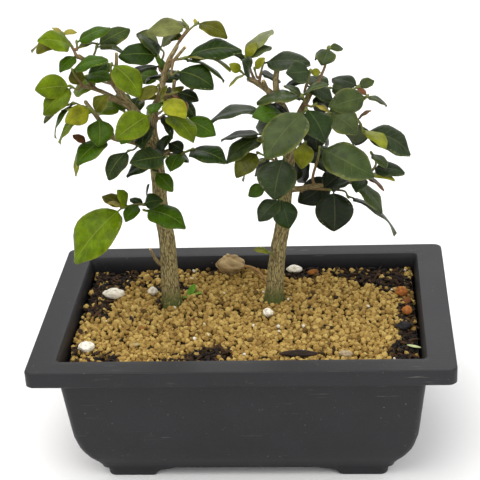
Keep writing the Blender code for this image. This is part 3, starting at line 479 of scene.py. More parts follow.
@dataclass(frozen=True)
class Bark:
    """Bark that splits lengthwise, with pale flecks, and moss low on the trunk."""

    ridge: Color = display(154, 140, 92)
    furrow: Color = display(84, 73, 46)
    young: Color = display(110, 92, 58)
    fleck: Color = display(186, 176, 150)
    moss: Color = display(74, 84, 34)
    cut: Color = display(198, 170, 120)

    def make(self) -> bpy.types.Material:
        """Reads "run": along, round and radius in metres, and "kind": cut, youth and moss."""
        graph = Graph("bark", {"Specular IOR Level": 0.3})
        run = graph.attribute("run")
        cut, youth, moss = graph.parts(graph.attribute("kind"))
        lengthwise = graph.stretched((0.22, 1.0, 1.0), run)
        plates = graph.noise(0.75, 4, 0.66, lengthwise)
        split = graph.cells(0.9, lengthwise, feature="DISTANCE_TO_EDGE").step(0.0, 0.2)
        ridges = plates * 0.6 + split * 0.4
        fleck = graph.noise(1.3, 4, 0.65, graph.stretched((0.6, 1.0, 1.0), run)).step(0.54, 0.66)
        rings = graph.noise(0.5, 2, 0.5, graph.stretched((1.6, 0.15, 1.0), run))
        color = graph.mix(ridges.step(0.30, 0.66), self.furrow, self.ridge)
        color = graph.mix(youth * 0.65, color, graph.tinted(self.young, rings * 0.8 + 0.6))
        color = graph.mix(fleck * 0.45, color, self.fleck)
        color = graph.mix(moss * graph.noise(2.2, 4).step(0.26, 0.46) * 0.95, color,
                          graph.tinted(self.moss, plates * 1.1 + 0.4))
        wood = graph.tinted(self.cut, graph.noise(0.8, 3) * 0.5 + 0.72)
        color = graph.mix(cut, color, wood)
        graph.bump(ridges, 0.6, 0.35)
        return graph.finish(color, 0.86 - youth * 0.14)


@dataclass(frozen=True)
class TwigSkin:
    """Thin smooth bark of twigs, brown with a green growing end."""

    brown: Color = display(112, 88, 56)
    green: Color = display(104, 112, 50)

    def make(self) -> bpy.types.Material:
        """Reads the points' "run": along as a share, and round and radius in metres."""
        graph = Graph("twig_skin", {"Specular IOR Level": 0.35})
        share, _, _ = graph.parts(graph.attribute("run"))
        grain = graph.noise(0.6, 3)
        color = graph.mix(share.step(0.35, 1.0), self.brown, self.green)
        graph.bump(grain, 0.5, 0.2)
        return graph.finish(graph.tinted(color, grain * 0.9 + 0.5), grain * 0.2 + 0.5)


@dataclass(frozen=True)
class LeafSkin:
    """Glossy leaf with a pale midrib and side veins, a yellowing margin and a duller underside."""

    name: str
    rib: Color
    margin: Color
    under: Color
    spot: Color = display(62, 38, 18)
    gloss: float = 0.28
    sheen: float = 0.08

    def make(self) -> bpy.types.Material:
        """Reads "place": along, across and side; "tint"; and "trait": margin, spots and veins."""
        graph = Graph(self.name, {"Specular IOR Level": self.sheen})
        share, across, top = graph.parts(graph.attribute("place"))
        margin, spots, veins = graph.parts(graph.attribute("trait"))
        tint = graph.attribute("tint", "Color")
        out = abs(across)
        rib = out.step(0.06, 0.015)
        ribs = abs((share * 8.5 - out * 1.5).fraction() - 0.5)
        side_veins = ribs.step(0.42, 0.49) * out.step(0.98, 0.5)
        cloud = graph.noise(5.5, 3)
        fine = graph.noise(0.9, 3, 0.6)
        color = graph.tinted(tint, cloud * 1.6 + fine * 0.5 - 0.14)
        color = graph.mix(side_veins * veins * 0.16, color, self.rib)
        color = graph.mix((out + cloud * 0.35).step(0.98, 1.22) * margin * 0.7, color, self.margin)
        blotch = graph.noise(2.3, 4, 0.65).step(0.56, 0.66) * spots
        color = graph.mix(blotch * 0.8, color, self.spot)
        color = graph.mix(rib * (veins * 0.32 + 0.06), color, self.rib)
        below = graph.mix(0.62, color, self.under)
        color = graph.mix(top.step(0.45, 0.55), below, color)
        graph.bump(side_veins * -0.4 - rib * 0.6 + cloud * 1.2 + fine * 0.3, 0.6, 0.5)
        return graph.finish(color, fine * 0.12 + self.gloss + blotch * 0.2 - top * 0.04)


@dataclass(frozen=True)
class PaleFloor:
    """Plain pale surface that the pot stands on."""

    color: Color = (0.93, 0.93, 0.93)

    def make(self) -> bpy.types.Material:
        """White with the faintest unevenness."""
        graph = Graph("pale_floor", {"Specular IOR Level": 0.2})
        return graph.finish(graph.tinted(self.color, graph.noise(300, 2) * 0.02 + 0.99), 0.8)


# ---------------------------------------------------------------- pot


@dataclass
class Pot:
    """Thin-walled moulded pot: tucked body on corner feet, flat rim with a down-turned skirt."""

    length: float = 205.0
    width: float = 133.0
    height: float = 73.0
    ledge: tuple[float, float] = (13.3, 10.9)
    skirt: float = 8.2
    plate: float = 2.4
    wall: float = 2.0
    tuck: tuple[float, float] = (18.2, 9.5)
    foot: float = 24.0
    foot_slopes: tuple[float, float, float] = (0.0, 2.5, 15.5)
    lifts: tuple[float, float, float] = (0.0, 2.8, 5.4)
    floor_under: float = 6.5
    floor_top: float = 9.5
    foot_wall: float = 3.2
    corner: float = 4.0
    rounding: float = 0.8
    drain_radius: float = 4.5
    drain_at: tuple[float, float] = (40.0, 23.0)
    drain_sides: int = 24
    spacing: float = 1.9
    corner_steps: int = 8
    tuck_heights: tuple[float, ...] = (6.5, 9.5, 13.5, 19.0, 27.5, 42.0, 62.0)
    tuck_shares: tuple[float, ...] = (0.86, 0.74, 0.54, 0.35, 0.21, 0.12, 0.0)
    unevenness: float = 0.12

    def plan(self, reach_x: float, reach_y: float, corner: float) -> Array:
        """A rounded rectangle: straight sides joined by quarter circles.

        Args:
            reach_x: Its half length.
            reach_y: Its half width.
            corner: Radius of its corners.

        Returns:
            The same number of plan points in every call, with the same share on each side.
        """
        side_x = int(2 * (self.length / 2) / self.spacing)
        side_y = int(2 * (self.width / 2) / self.spacing)
        rows = []
        for quarter, count in zip(range(4), (side_y, side_x, side_y, side_x)):
            half, far = (reach_y, reach_x) if quarter % 2 == 0 else (reach_x, reach_y)
            run = np.linspace(-(half - corner), half - corner, count, endpoint=False)
            turn = np.linspace(0, math.pi / 2, self.corner_steps, endpoint=False)
            flat = np.stack([np.full(count, far), run], axis=-1)
            bend = np.stack([far - corner + corner * np.cos(turn),
                             half - corner + corner * np.sin(turn)], axis=-1)
            cosine, sine = ((1, 0), (0, 1), (-1, 0), (0, -1))[quarter]
            piece = np.concatenate([flat, bend])
            rows.append(np.stack([piece[:, 0] * cosine - piece[:, 1] * sine,
                                  piece[:, 0] * sine + piece[:, 1] * cosine], axis=-1))
        return np.concatenate(rows)

    def body(self, height: float, inset: float = 0.0) -> tuple[float, float, float]:
        """Half length, half width and corner of the body at a height, drawn in by an inset."""
        tuck = float(np.interp(height, self.tuck_heights, self.tuck_shares))
        return (self.length / 2 - self.ledge[0] - self.tuck[0] * tuck - inset,
                self.width / 2 - self.ledge[1] - self.tuck[1] * tuck - inset,
                max(self.corner - inset, 2.0))

    def profile(self) -> list[tuple[tuple[float, float, float], float, float, float]]:
        """The section, from the middle of the underside out, over the rim and down to the floor.

        Returns:
            Rows of half sizes and corner, height, share of the lift between feet, and wear.
        """
        length, width = self.length / 2, self.width / 2
        foot_x = length - self.ledge[0] - self.tuck[0]
        foot_y = width - self.ledge[1] - self.tuck[1]
        top, low = self.height, self.height - self.skirt
        under = self.height - self.plate
        round_in, wide = self.rounding, self.corner
        inner = (foot_x - self.foot_wall, foot_y - self.foot_wall, 0.8)
        rows = [(tuple(part * share for part in inner), self.floor_under, 0.0, 0.0)
                for share in (0.02, 0.3, 0.6, 0.9, 0.99)]
        rows += [(inner, self.floor_under, 0.0, 0.0),
                 (inner, 3.6, 0.45, 0.0),
                 (inner, 0.3, 0.95, 0.0),
                 ((inner[0] + 0.3, inner[1] + 0.3, inner[2]), 0.0, 1.0, 0.0),
                 ((foot_x - 0.8, foot_y - 0.8, wide - 0.4), 0.0, 1.0, 0.0),
                 ((foot_x - 0.5, foot_y - 0.5, wide), 0.3, 0.95, 0.0),
                 ((foot_x - 0.3, foot_y - 0.3, wide), 1.6, 0.73, 0.0),
                 ((foot_x, foot_y, wide), 5.0, 0.15, 0.0)]
        rows += [(self.body(height), height, 0.0, 0.0)
                 for height in (5.9, 6.5, 8, 9.5, 11, 12.5, 14, 16, 18, 20.5, 23.5, 27, 31, 36, 42,
                                48, 55, 62, 68)]
        body = self.body(under)
        rows += [(body, under - 0.9, 0.0, 0.0),
                 ((body[0] + 0.5, body[1] + 0.5, wide), under, 0.0, 0.0),
                 ((length - self.wall - 0.5, width - self.wall - 0.5, 2.2), under, 0.0, 0.3),
                 ((length - self.wall, width - self.wall, 2.2), under - 0.6, 0.0, 0.4),
                 ((length - self.wall, width - self.wall, 2.2), low + 0.3, 0.0, 0.7),
                 ((length - self.wall + 0.3, width - self.wall + 0.3, 2.4), low, 0.0, 0.9),
                 ((length - 0.5, width - 0.5, wide - 0.3), low, 0.0, 0.9),
                 ((length, width, wide), low + 0.5, 0.0, 1.0),
                 ((length, width, wide), low + 3, 0.0, 0.35)]
        for turn in np.linspace(0, math.pi / 2, 5):
            inset, rise = round_in * (1 - math.cos(turn)), round_in * (math.sin(turn) - 1)
            rows.append(((length - inset, width - inset, wide), top + rise, 0.0, 1.0))
        ledge_x, ledge_y = self.ledge
        rows += [((length - share * ledge_x, width - share * ledge_y, wide - 1.5 * share),
                  top, 0.0, wear)
                 for share, wear in ((0.12, 0.7), (0.4, 0.25), (0.7, 0.15), (0.94, 0.4))]
        rows += [((length - ledge_x - 0.2, width - ledge_y - 0.2, 2.5), top - 0.15, 0.0, 0.7),
                 ((length - ledge_x - 0.9, width - ledge_y - 0.9, 2.4), top - 1.0, 0.0, 0.6),
                 (self.body(under, 1.6), under - 0.6, 0.0, 0.3),
                 (self.body(66, 2.0), 66.5, 0.0, 0.2)]
        rows += [(self.body(height, self.wall), height, 0.0, 0.0)
                 for height in (62, 50, 42, 27.5, 19, 14)]
        floor = self.body(self.floor_top, self.wall + 1.5)
        rows += [(floor, self.floor_top, 0.0, 0.0)]
        rows += [(tuple(part * share for part in floor), self.floor_top, 0.0, 0.0)
                 for share in (0.97, 0.6, 0.3, 0.02)]
        return rows

    def between_feet(self, plan: Array) -> Array:
        """How high the skirt's lower edge stands at each plan point: 0 on a foot."""
        foot_x = self.length / 2 - self.ledge[0] - self.tuck[0] - self.foot
        foot_y = self.width / 2 - self.ledge[1] - self.tuck[1] - self.foot
        past_x, past_y = foot_x - abs(plan[:, 0]), foot_y - abs(plan[:, 1])
        return np.interp(np.maximum(past_x, past_y), self.foot_slopes, self.lifts)

    def surface(self) -> Surface:
        """Section rows carried round the plan, with a slight unevenness of thin moulded walls."""
        rings, uses = [], []
        for (reach_x, reach_y, corner), height, lifted, wear in self.profile():
            plan = self.plan(reach_x, reach_y, min(corner, reach_x, reach_y))
            rings.append(np.column_stack([plan, height + lifted * self.between_feet(plan)]))
            # Full on the top flat, where the paler grey is dust and painted light; faint dust
            # elsewhere.
            flat = 1.0 if abs(height - self.height) < 0.01 else 0.12
            stain = ease(60, 66, height) * (reach_x < self.length / 2 - self.ledge[0])
            corner_wear = ease(60, 100, abs(plan[:, 0])) * 0.25 + ease(-20, -66, plan[:, 1]) * 0.2
            front_right = ease(60, 100, plan[:, 0]) * ease(-30, -60, plan[:, 1])
            rough = wear * (0.5 + corner_wear + 0.35 * front_right)
            count = len(plan)
            uses.append(np.column_stack([rough, np.full(count, flat), np.full(count, stain)]))
        rings = np.array(rings)
        wave = self.unevenness * value_noise(rings, 46.0, 5)
        rings[..., :2] += wave[..., None] * unit(rings[..., :2])
        return closed_loft(rings, {"use": np.array(uses)})

    def build(self, finish: bpy.types.Material) -> None:
        """Makes the pot and drills its drain holes.

        Drilling leaves the points' "use" at zero, so only the finish's even parts show.
        """
        pot = make_piece("pot_shell", self.surface(), finish, ["pot"], 35.0)
        drain_x, drain_y = self.drain_at
        drill = joined([sweep(np.array([(x, y, 0.0), (x, y, 8.0), (x, y, 14.0)]),
                              np.full((3, self.drain_sides), self.drain_radius))
                        for x, y in product((-drain_x, drain_x), (-drain_y, drain_y))])
        drill_mesh = bpy.data.meshes.new("drill")
        drill_mesh.from_pydata((drill.points * MM).tolist(), [],
                               drill.quads.tolist() + drill.triangles.tolist())
        cutter = bpy.data.objects.new("drill", drill_mesh)
        bpy.context.collection.objects.link(cutter)
        cut = pot.modifiers.new("drain_holes", "BOOLEAN")
        cut.operation = "DIFFERENCE"
        cut.object = cutter
        cut.solver = "EXACT"
        graph = bpy.context.evaluated_depsgraph_get()
        drilled = bpy.data.meshes.new_from_object(pot.evaluated_get(graph))
        pot.modifiers.clear()
        pot.data = drilled
        bpy.data.objects.remove(cutter, do_unlink=True)


# ---------------------------------------------------------------- soil and what lies on it


# Middles and reaches of the patches where dark humus shows.
DARK_PATCHES = ((-80, 14, 12), (-74, 40, 12), (-20, -39, 7), (-12, -42, 7), (60, 44, 12),
                (72, 38, 10), (84, -20, 8), (80, -38, 9), (-66, -44, 6), (-42, 30, 9), (30, 48, 8),
                (-82, 26, 9), (-36, -47, 6), (84, 6, 7), (-44, 12, 5))


@dataclass
class Ground:
    """The soil's level and edge, and how dark it is where."""

    level: float = 65.0
    mound: float = 1.6
    waves: float = 0.5
    half_x: float = 86.8
    half_y: float = 53.2
    corner: float = 2.5
    bed_drop: float = 1.9
    feet: tuple[tuple[float, float], ...] = ((-40.0, 12.5), (13.5, 15.5))
    foot_clear: float = 5.2
    pot_half: tuple[float, float] = (102.5, 66.5)

    def height(self, x: Array, y: Array) -> Array:
        """Mound 1 - x^2 - y^2 over the pot's half sizes, plus slow uneven waves."""
        half_x, half_y = self.pot_half
        rise = np.maximum(1 - (x / half_x) ** 2 - (y / half_y) ** 2, 0) * self.mound
        wave = np.sin(x * 0.21 + 0.7) * np.cos(y * 0.27) + np.sin(x * 0.09 - y * 0.13)
        return self.level + rise + self.waves * wave / 2

    def inside(self, x: Array, y: Array, margin: float) -> Array:
        """Whether places lie inside the pot's inner wall by a margin."""
        corner = max(self.corner, margin + 1.0)
        beyond_x = np.maximum(abs(x) - (self.half_x - corner), 0)
        beyond_y = np.maximum(abs(y) - (self.half_y - corner), 0)
        return np.hypot(beyond_x, beyond_y) < corner - margin

    def clear_of_stems(self, x: Array, y: Array) -> Array:
        """Whether places lie outside both trunks."""
        away = [np.hypot(x - foot[0], y - foot[1]) > self.foot_clear for foot in self.feet]
        return np.logical_and.reduce(away)

    def darkness(self, x: Array, y: Array) -> Array:
        """Where dark humus shows between the granules: at the edges and in a few patches."""
        edge = np.maximum(ease(62, 86, abs(x)), ease(34, 52, y)) * 0.7
        patches = np.zeros_like(x)
        for middle_x, middle_y, reach in DARK_PATCHES:
            patches += 1.3 * np.exp(-((x - middle_x) ** 2 + (y - middle_y) ** 2) / reach ** 2)
        places = np.stack([x, y, np.zeros_like(x)], axis=-1)
        mottle = value_noise(places, 9.0, 11) * 0.25 + value_noise(places, 4.0, 12) * 0.15
        return np.clip(edge * 0.55 + patches * 0.85 + mottle, 0, 1)


@dataclass
class SoilBed(Ground):
    """Dark fine soil under the granules, as deep as the pot: humus where the dark patches show,
    and painted shade in the gaps between crumbs.
    """

    bottom: float = 9.8
    bottom_share: tuple[float, float] = (0.80, 0.82)
    squareness: float = 0.10
    sides: int = 120
    # Near-black brown: humus in the dark patches, and painted shade where it shows in the gaps
    # between crumbs.
    soil: Color = display(34, 27, 18)

    def surface(self) -> Surface:
        """Rows from the middle of the underside, up the wall and in over the top.

        Plan = half sizes times sign(cos) |cos|^p and sign(sin) |sin|^p, with p the squareness.
        """
        turn = np.linspace(0, 2 * math.pi, self.sides, endpoint=False)
        circle = np.stack([np.cos(turn), np.sin(turn)], axis=-1)
        plan = np.sign(circle) * abs(circle) ** self.squareness * (self.half_x, self.half_y)
        low = plan * self.bottom_share
        rows = [np.column_stack([low * share, np.full(self.sides, self.bottom)])
                for share in (0.02, 0.5, 0.98)]
        rows += [np.column_stack([plan * share, np.full(self.sides, height)])
                 for share, height in ((0.86, 13.0), (0.93, 22.0), (0.96, 36.0), (0.985, 60.0))]
        for share in (0.99, 0.9, 0.8, 0.7, 0.6, 0.5, 0.4, 0.3, 0.2, 0.1, 0.02):
            flat = plan * share
            level = self.height(flat[:, 0], flat[:, 1]) - self.bed_drop
            rows.append(np.column_stack([flat, level]))
        rings = np.array(rows)
        return closed_loft(rings, {"tint": np.zeros(rings.shape) + np.array(self.soil)})


@dataclass
class Scatter(Ground):
    """Crumbs strewn over the ground, each one 24-faced body stretched, turned and dented."""

    seed: int = 3
    dent: float = 0.24
    pitch: float = 2.35
    shake: float = 0.9
    clay: tuple[Color, ...] = (display(190, 164, 96), display(168, 138, 74), display(128, 98, 46),
                               display(46, 36, 24))
    humus: tuple[Color, ...] = (display(20, 17, 15), display(70, 48, 28))
    perlite: Color = display(214, 208, 192)

    def crumbs(self, middles: Array, halves: Array, yaw_only: bool, tints: Array) -> Surface:
        """Crumb points = middle + turn (direction * half sizes * (1 + dent)), for all at once.

        Args:
            middles: Middle of each crumb.
            halves: Its half sizes.
            yaw_only: Whether crumbs lie nearly flat, and turn about the upright.
            tints: Its colour.
        """
        draw = np.random.default_rng(self.seed)
        directions, quads = crumb()
        count, size = len(middles), len(directions)
        body = directions[None] * halves[:, None, :]
        body = body * (1 + self.dent * draw.uniform(-1, 1, (count, size, 1)))
        turn = unit(draw.normal(size=(count, 4)))
        if yaw_only:
            turn = unit(turn * (1.0, 0.10, 0.10, 1.0))
        w, x, y, z = turn.T
        matrix = np.array([[1 - 2 * (y * y + z * z), 2 * (x * y - z * w), 2 * (x * z + y * w)],
                           [2 * (x * y + z * w), 1 - 2 * (x * x + z * z), 2 * (y * z - x * w)],
                           [2 * (x * z - y * w), 2 * (y * z + x * w), 1 - 2 * (x * x + y * y)]])
        points = np.einsum("ijn,nkj->nki", matrix, body) + middles[:, None]
        faces = quads[None] + (np.arange(count) * size)[:, None, None]
        return Surface(points.reshape(-1, 3), faces.reshape(-1, 4),
                       values={"tint": np.repeat(tints, size, axis=0)})

    def places(self, draw: np.random.Generator, pitch: float, margin: float) -> Array:
        """Shaken places of a close triangular lattice inside the pot and clear of the stems."""
        across = np.arange(-self.half_x, self.half_x, pitch)
        deep = np.arange(-self.half_y, self.half_y, pitch * 0.866)
        x, y = np.meshgrid(across, deep)
        x = x + (np.arange(len(deep))[:, None] % 2) * pitch / 2
        shift = draw.uniform(-self.shake, self.shake, (x.size, 2))
        spot = np.stack([x.ravel(), y.ravel()], axis=-1) + shift
        x, y = spot.T
        return spot[self.inside(x, y, margin) & self.clear_of_stems(x, y)]

    def granules(self) -> list[Surface]:
        """A full layer of granules and a looser one on top, in two surfaces."""
        draw = np.random.default_rng(self.seed)
        made = []
        layers = ((self.pitch, 0.94, -1.1, 0.1), (self.pitch * 1.18, 0.62, 0.2, 1.5))
        for pitch, share, low, high in layers:
            spot = self.places(draw, pitch, 1.5)
            dark = self.darkness(spot[:, 0], spot[:, 1])
            kept = draw.uniform(size=len(spot)) < share * (1 - 0.84 * ease(0.35, 0.85, dark))
            spot, dark = spot[kept], dark[kept]
            count = len(spot)
            size = draw.uniform(0.95, 1.75, (count, 1)) * draw.uniform(0.74, 1.12, (count, 3))
            z = self.height(spot[:, 0], spot[:, 1]) + draw.uniform(low, high, count)
            tints = self.tints(draw, dark)
            made.append(self.crumbs(np.column_stack([spot, z]), size, False, tints))
        return made

    def tints(self, draw: np.random.Generator, dark: Array) -> Array:
        """Tan, with brown, pale and dark crumbs among it, and darker where humus shows."""
        pale, tan, brown, black = np.array(self.clay)
        count = len(dark)
        share = draw.uniform(size=(count, 1))
        color = np.where(share < 0.5, tan + (pale - tan) * (0.5 - share) * 1.7,
                         tan + (brown - tan) * (share - 0.5) * 1.5)
        wet = (draw.uniform(size=count) < 0.03 + 0.40 * ease(0.2, 0.8, dark))[:, None]
        return np.where(wet, black + (brown - black) * draw.uniform(0, 0.8, (count, 1)), color)

    def mulch(self) -> Surface:
        """Flat dark chips of bark and humus that lie where the granules are thin."""
        draw = np.random.default_rng(self.seed + 1)
        spot = self.places(draw, 1.9, 2.5)
        dark = self.darkness(spot[:, 0], spot[:, 1])
        spot = spot[draw.uniform(size=len(spot)) < 0.98 * ease(0.30, 0.7, dark) + 0.012]
        count = len(spot)
        size = np.column_stack([draw.uniform(0.9, 3.2, count), draw.uniform(0.5, 1.1, count),
                                draw.uniform(0.35, 0.8, count)])
        z = self.height(spot[:, 0], spot[:, 1]) + draw.uniform(-0.5, 1.7, count)
        black, brown = np.array(self.humus)
        tints = black + (brown - black) * draw.uniform(0, 1, (count, 1)) ** 2
        return self.crumbs(np.column_stack([spot, z]), size, True, tints)

    def flecks(self) -> Surface:
        """Small white perlite grains, about twenty in all."""
        draw = np.random.default_rng(self.seed + 2)
        spot = self.places(draw, 3.0, 3.0)
        spot = spot[draw.uniform(size=len(spot)) < 0.008]
        count = len(spot)
        size = draw.uniform(0.5, 1.0, (count, 3))
        z = self.height(spot[:, 0], spot[:, 1]) + draw.uniform(1.2, 1.9, count)
        tints = np.zeros((count, 3)) + np.array(self.perlite)
        return self.crumbs(np.column_stack([spot, z]), size, False, tints)


class StoneKind(Enum):
    """What a single stone on the soil is made of: its colours and how rough it is."""

    ROCK = (display(196, 172, 128), display(128, 104, 66), 0.24)
    ORANGE = (display(172, 108, 50), display(120, 66, 30), 0.14)
    DARK = (display(48, 46, 46), display(22, 21, 22), 0.2)
    PALE = (display(186, 170, 138), display(134, 114, 86), 0.14)
    STRIP = (display(58, 44, 36), display(26, 20, 18), 0.10)
    PERLITE = (display(244, 240, 228), display(190, 178, 150), 0.13)


@dataclass
class Stone:
    """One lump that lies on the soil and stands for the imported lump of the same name."""

    node: str
    kind: StoneKind
    seed: int

    def surface(self) -> Surface:
        """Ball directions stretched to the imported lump's box, pushed out and in by noise."""
        low, high = (np.array(corner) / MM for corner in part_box(self.node))
        first, second, rough = self.kind.value
        ball = ball_grid(15, 22)
        coarse = value_noise(ball, 0.62, self.seed)
        fine = value_noise(ball, 0.23, self.seed + 9)
        square = np.abs(ball).max(axis=-1)
        radius = 0.98 + rough * (coarse + 0.5 * fine) + 0.45 * (square - 0.8)
        points = (low + high) / 2 + ball * (high - low) / 2 * radius[..., None]
        points[..., 2] -= 0.3
        share = np.clip(0.5 + 0.7 * fine + 0.3 * coarse, 0, 1)[..., None]
        tint = np.array(first) * share + np.array(second) * (1 - share)
        return closed_loft(points[::-1], {"tint": tint[::-1]})


@dataclass
class Litter:
    """A root that arches over the soil, a seedling, bits of brown bark and two pale bits."""

    root_color: Color = display(150, 118, 74)

    def root(self) -> Surface:
        """A thin tapering tube along an arch over the soil."""
        path = smooth_path([(-12, 49, 65.5), (-7, 46, 70.5), (0, 43, 72.0), (6, 38, 70.0),
                            (10, 31, 66.0)], 0.8)
        share = np.linspace(0, 1, len(path))[:, None]
        turn = np.arange(10)[None] * (math.pi / 5)
        lumps = value_noise(path, 2.2, 21)[:, None] * 0.16
        radius = (0.95 - 0.35 * share + lumps) * (1 + 0.08 * np.cos(2 * turn))
        tint = np.zeros((*radius.shape, 3)) + np.array(self.root_color)
        return sweep(path, radius, {"tint": tint})

    def chip(self, middle: Sequence[float], size: Sequence[float], turn: float, color: Color,
             lift: float = 0.0) -> Surface:
        """A flat chip or blade: a ball squeezed to its half sizes, turned and raised at one end.

        Args:
            middle: Its middle, from the pot's middle.
            size: Its half length, half width and half thickness.
            turn: Its turn about the upright, in degrees.
            color: Its colour.
            lift: How steeply its far end rises.

        Returns:
            The closed chip.
        """
        body = ball_grid(11, 14) * np.array(size)
        angle = math.radians(turn)
        x, y, z = np.moveaxis(body, -1, 0)
        points = np.stack([x * math.cos(angle) - y * math.sin(angle),
                           x * math.sin(angle) + y * math.cos(angle),
                           z + lift * x], axis=-1) + np.array(middle)
        shade = 0.85 + 0.3 * value_noise(points, 1.1, 31)
        tint = np.array(color) * shade[..., None]
        return closed_loft(points[::-1], {"tint": tint[::-1]})

    def bits(self) -> dict[str, Surface]:
        """A seedling's leaves by the left trunk, four bits of brown bark and two pale bits."""
        green, lime, sliver = display(86, 132, 30), display(120, 150, 50), display(196, 206, 150)
        seedling = [self.chip((-30.5, 22.0, 69.5), (4.0, 2.0, 0.35), 70.0, green, 0.5),
                    self.chip((-27.5, 20.5, 68.6), (3.2, 1.6, 0.3), -15.0, lime, 0.3),
                    self.chip((-32.5, 17.5, 68.2), (2.2, 1.3, 0.3), 30.0, green, -0.2)]
        brown = [self.chip((-28.0, -8.5, 67.6), (3.2, 1.2, 0.9), 62.0, display(112, 72, 34), 0.35),
                 self.chip((-52.0, -13.0, 67.4), (2.4, 1.9, 0.9), 20.0, display(128, 86, 40)),
                 self.chip((33.0, 45.0, 67.6), (3.4, 2.4, 1.2), 35.0, display(136, 84, 34)),
                 self.chip((82.0, 12.0, 67.4), (3.4, 2.2, 1.2), 80.0, display(118, 70, 30))]
        pale = [self.chip((83.5, -35.0, 67.8), (4.2, 1.0, 0.4), -38.0, sliver, 0.15),
                self.chip((-54.0, -30.0, 67.2), (2.6, 1.4, 0.9), 15.0, display(176, 160, 110))]
        heaps = {"seedling": seedling, "brown_bits": brown, "pale_bits": pale}
        return {name: joined(heap) for name, heap in heaps.items()}


# ---------------------------------------------------------------- trees


@dataclass(frozen=True)
class Limb:
    """A tapering limb: its points from the tree's foot, its radius at both ends, and its end."""

    points: tuple[tuple[float, float, float], ...]
    thick: float
    thin: float
    sawn: bool = False


@dataclass(frozen=True)
class ToneLook:
    """How leaves of one tone look: colour, and how strong their margin, spots and veins are."""

    color: Color
    margin: float = 0.15
    spots: float = 0.0
    veins: float = 0.5


class Tone(Enum):
    """The tones that leaves come in, from young bright ones to old dark ones and dry buds; the
    darkest is painted shade, for leaves deep in the crown.
    """

    LIME = ToneLook(display(120, 124, 20), 0.2, 0.1, 0.45)
    BRIGHT = ToneLook(display(86, 106, 6), 0.35, 0.15, 0.6)
    FRESH = ToneLook(display(54, 80, 8), 0.2, 0.1, 0.5)
    OLIVE = ToneLook(display(78, 80, 14), 0.5, 0.45, 0.4)
    PALE = ToneLook(display(104, 110, 60), 0.2, 0.1, 0.35)
    SAGE = ToneLook(display(54, 67, 27), 0.5, 0.12, 0.5)
    SLATE = ToneLook(display(38, 51, 23), 0.2, 0.08, 0.45)
    DEEP = ToneLook(display(30, 48, 10), 0.12, 0.1, 0.4)
    # The darkest tone is painted shade: near-black for leaves that sit in shadow deep in the crown
    # and at its back.
    PAINTED_SHADE = ToneLook(display(22, 31, 12), 0.05, 0.05, 0.3)
    BUD = ToneLook(display(150, 140, 58), 0.3, 0.2, 0.2)
    DRY = ToneLook(display(104, 68, 40), 0.2, 0.7, 0.2)


@dataclass(frozen=True)
class Leaf:
    """A leaf: its place along the twig, its tip from the tree's foot, width, roll and tone."""

    at: float
    tip: tuple[float, float, float]
    width: float
    roll: float
    tone: Tone


@dataclass(frozen=True)
class Twig:
    """A twig through its points; a side twig starts at a share of its spray's first twig."""

    points: tuple[tuple[float, float, float], ...]
    leaves: tuple[Leaf, ...]
    fork: float | None

    @classmethod
    def of(cls, points: Sequence[tuple[float, float, float]], *leaves: Leaf,
           fork: float | None = None) -> "Twig":
        """A twig from its points, its leaves and where it forks."""
        return cls(tuple(points), leaves, fork)


LEFT_WOOD = {
    "trunk": Limb(((0, 0, 0), (0, 0, 19), (0, 1, 39), (-2, 2, 55), (-2, 2, 72), (-3, 3, 88),
                   (-5, 3, 100)), 4.6, 3.2),
    "main_bough": Limb(((-4, 3, 94), (-10, 2, 107), (-15, 2, 114), (-20, 2, 123), (-27, 8, 127),
                        (-33, 11, 131), (-37, 7, 136)), 2.5, 1.1),
    "upper_branch": Limb(((-14, 2, 112), (-23, 3, 117), (-29, 3, 120), (-35, 1, 123)), 1.2, 0.9),
    "lower_branch": Limb(((-3, 3, 88), (-12, -6, 96), (-21, -12, 101), (-26, -10, 108),
                          (-34, -3, 116)), 1.7, 0.9),
    "leader": Limb(((-4, 3, 94), (-2, 3, 108), (2, 1, 117), (4, 4, 124), (7, 4, 133),
                    (11, 9, 139)), 2.4, 1.0),
    "right_branch": Limb(((-2, 3, 80), (2, -6, 89), (7, -8, 92)), 1.5, 1.1),
    "long_stub": Limb(((6, 4, 129), (9, 3, 133), (16, 2, 141)), 0.9, 0.8, True),
    "upright_stub": Limb(((3, 1, 117), (8, 0, 118), (10, 0, 125)), 1.0, 0.9, True),
    "slanted_stub": Limb(((3, 1, 116), (12, -1, 116), (23, -1, 125)), 0.9, 0.7, True),
    "bough_stub": Limb(((-23, 5, 125), (-19, 5, 131), (-18, 5, 138)), 1.0, 0.8, True),
    "cut_branch": Limb(((-12, 2, 110), (-19, -2, 116), (-25, -4, 118)), 1.3, 1.0, True),
    "dead_peg": Limb(((-1, 0, 24), (-5, -3, 28), (-8, -6, 37)), 1.2, 0.7, True),
}
RIGHT_WOOD = {
    "trunk": Limb(((0, 0, 0), (1, 0, 14), (3, 0, 31), (6, 1, 46), (8, 2, 64), (10, 3, 79),
                   (12, 3, 94)), 4.6, 2.7),
    "main_bough": Limb(((12, 3, 91), (10, 2, 103), (7, 3, 110), (2, 4, 115), (-4, 4, 120),
                        (-8, 2, 123)), 2.2, 1.3),
    "leader": Limb(((12, 3, 90), (16, 1, 104), (20, 1, 112), (23, 3, 117), (26, 6, 119)),
                   2.0, 1.1),
    "outer_branch": Limb(((12, 3, 88), (19, -2, 99), (27, -3, 104), (35, -2, 105), (40, -2, 106)),
                         1.6, 1.0),
    "lower_branch": Limb(((8, 2, 64), (15, 0, 65), (22, -4, 68), (32, -5, 69), (41, -5, 71)),
                         1.6, 1.0),
    "tall_stub": Limb(((6, 3, 111), (5, 3, 120), (6, 4, 128)), 1.6, 1.3, True),
    "short_stub": Limb(((4, 3, 113), (1, 3, 116), (-1, 2, 122)), 1.4, 1.0, True),
}

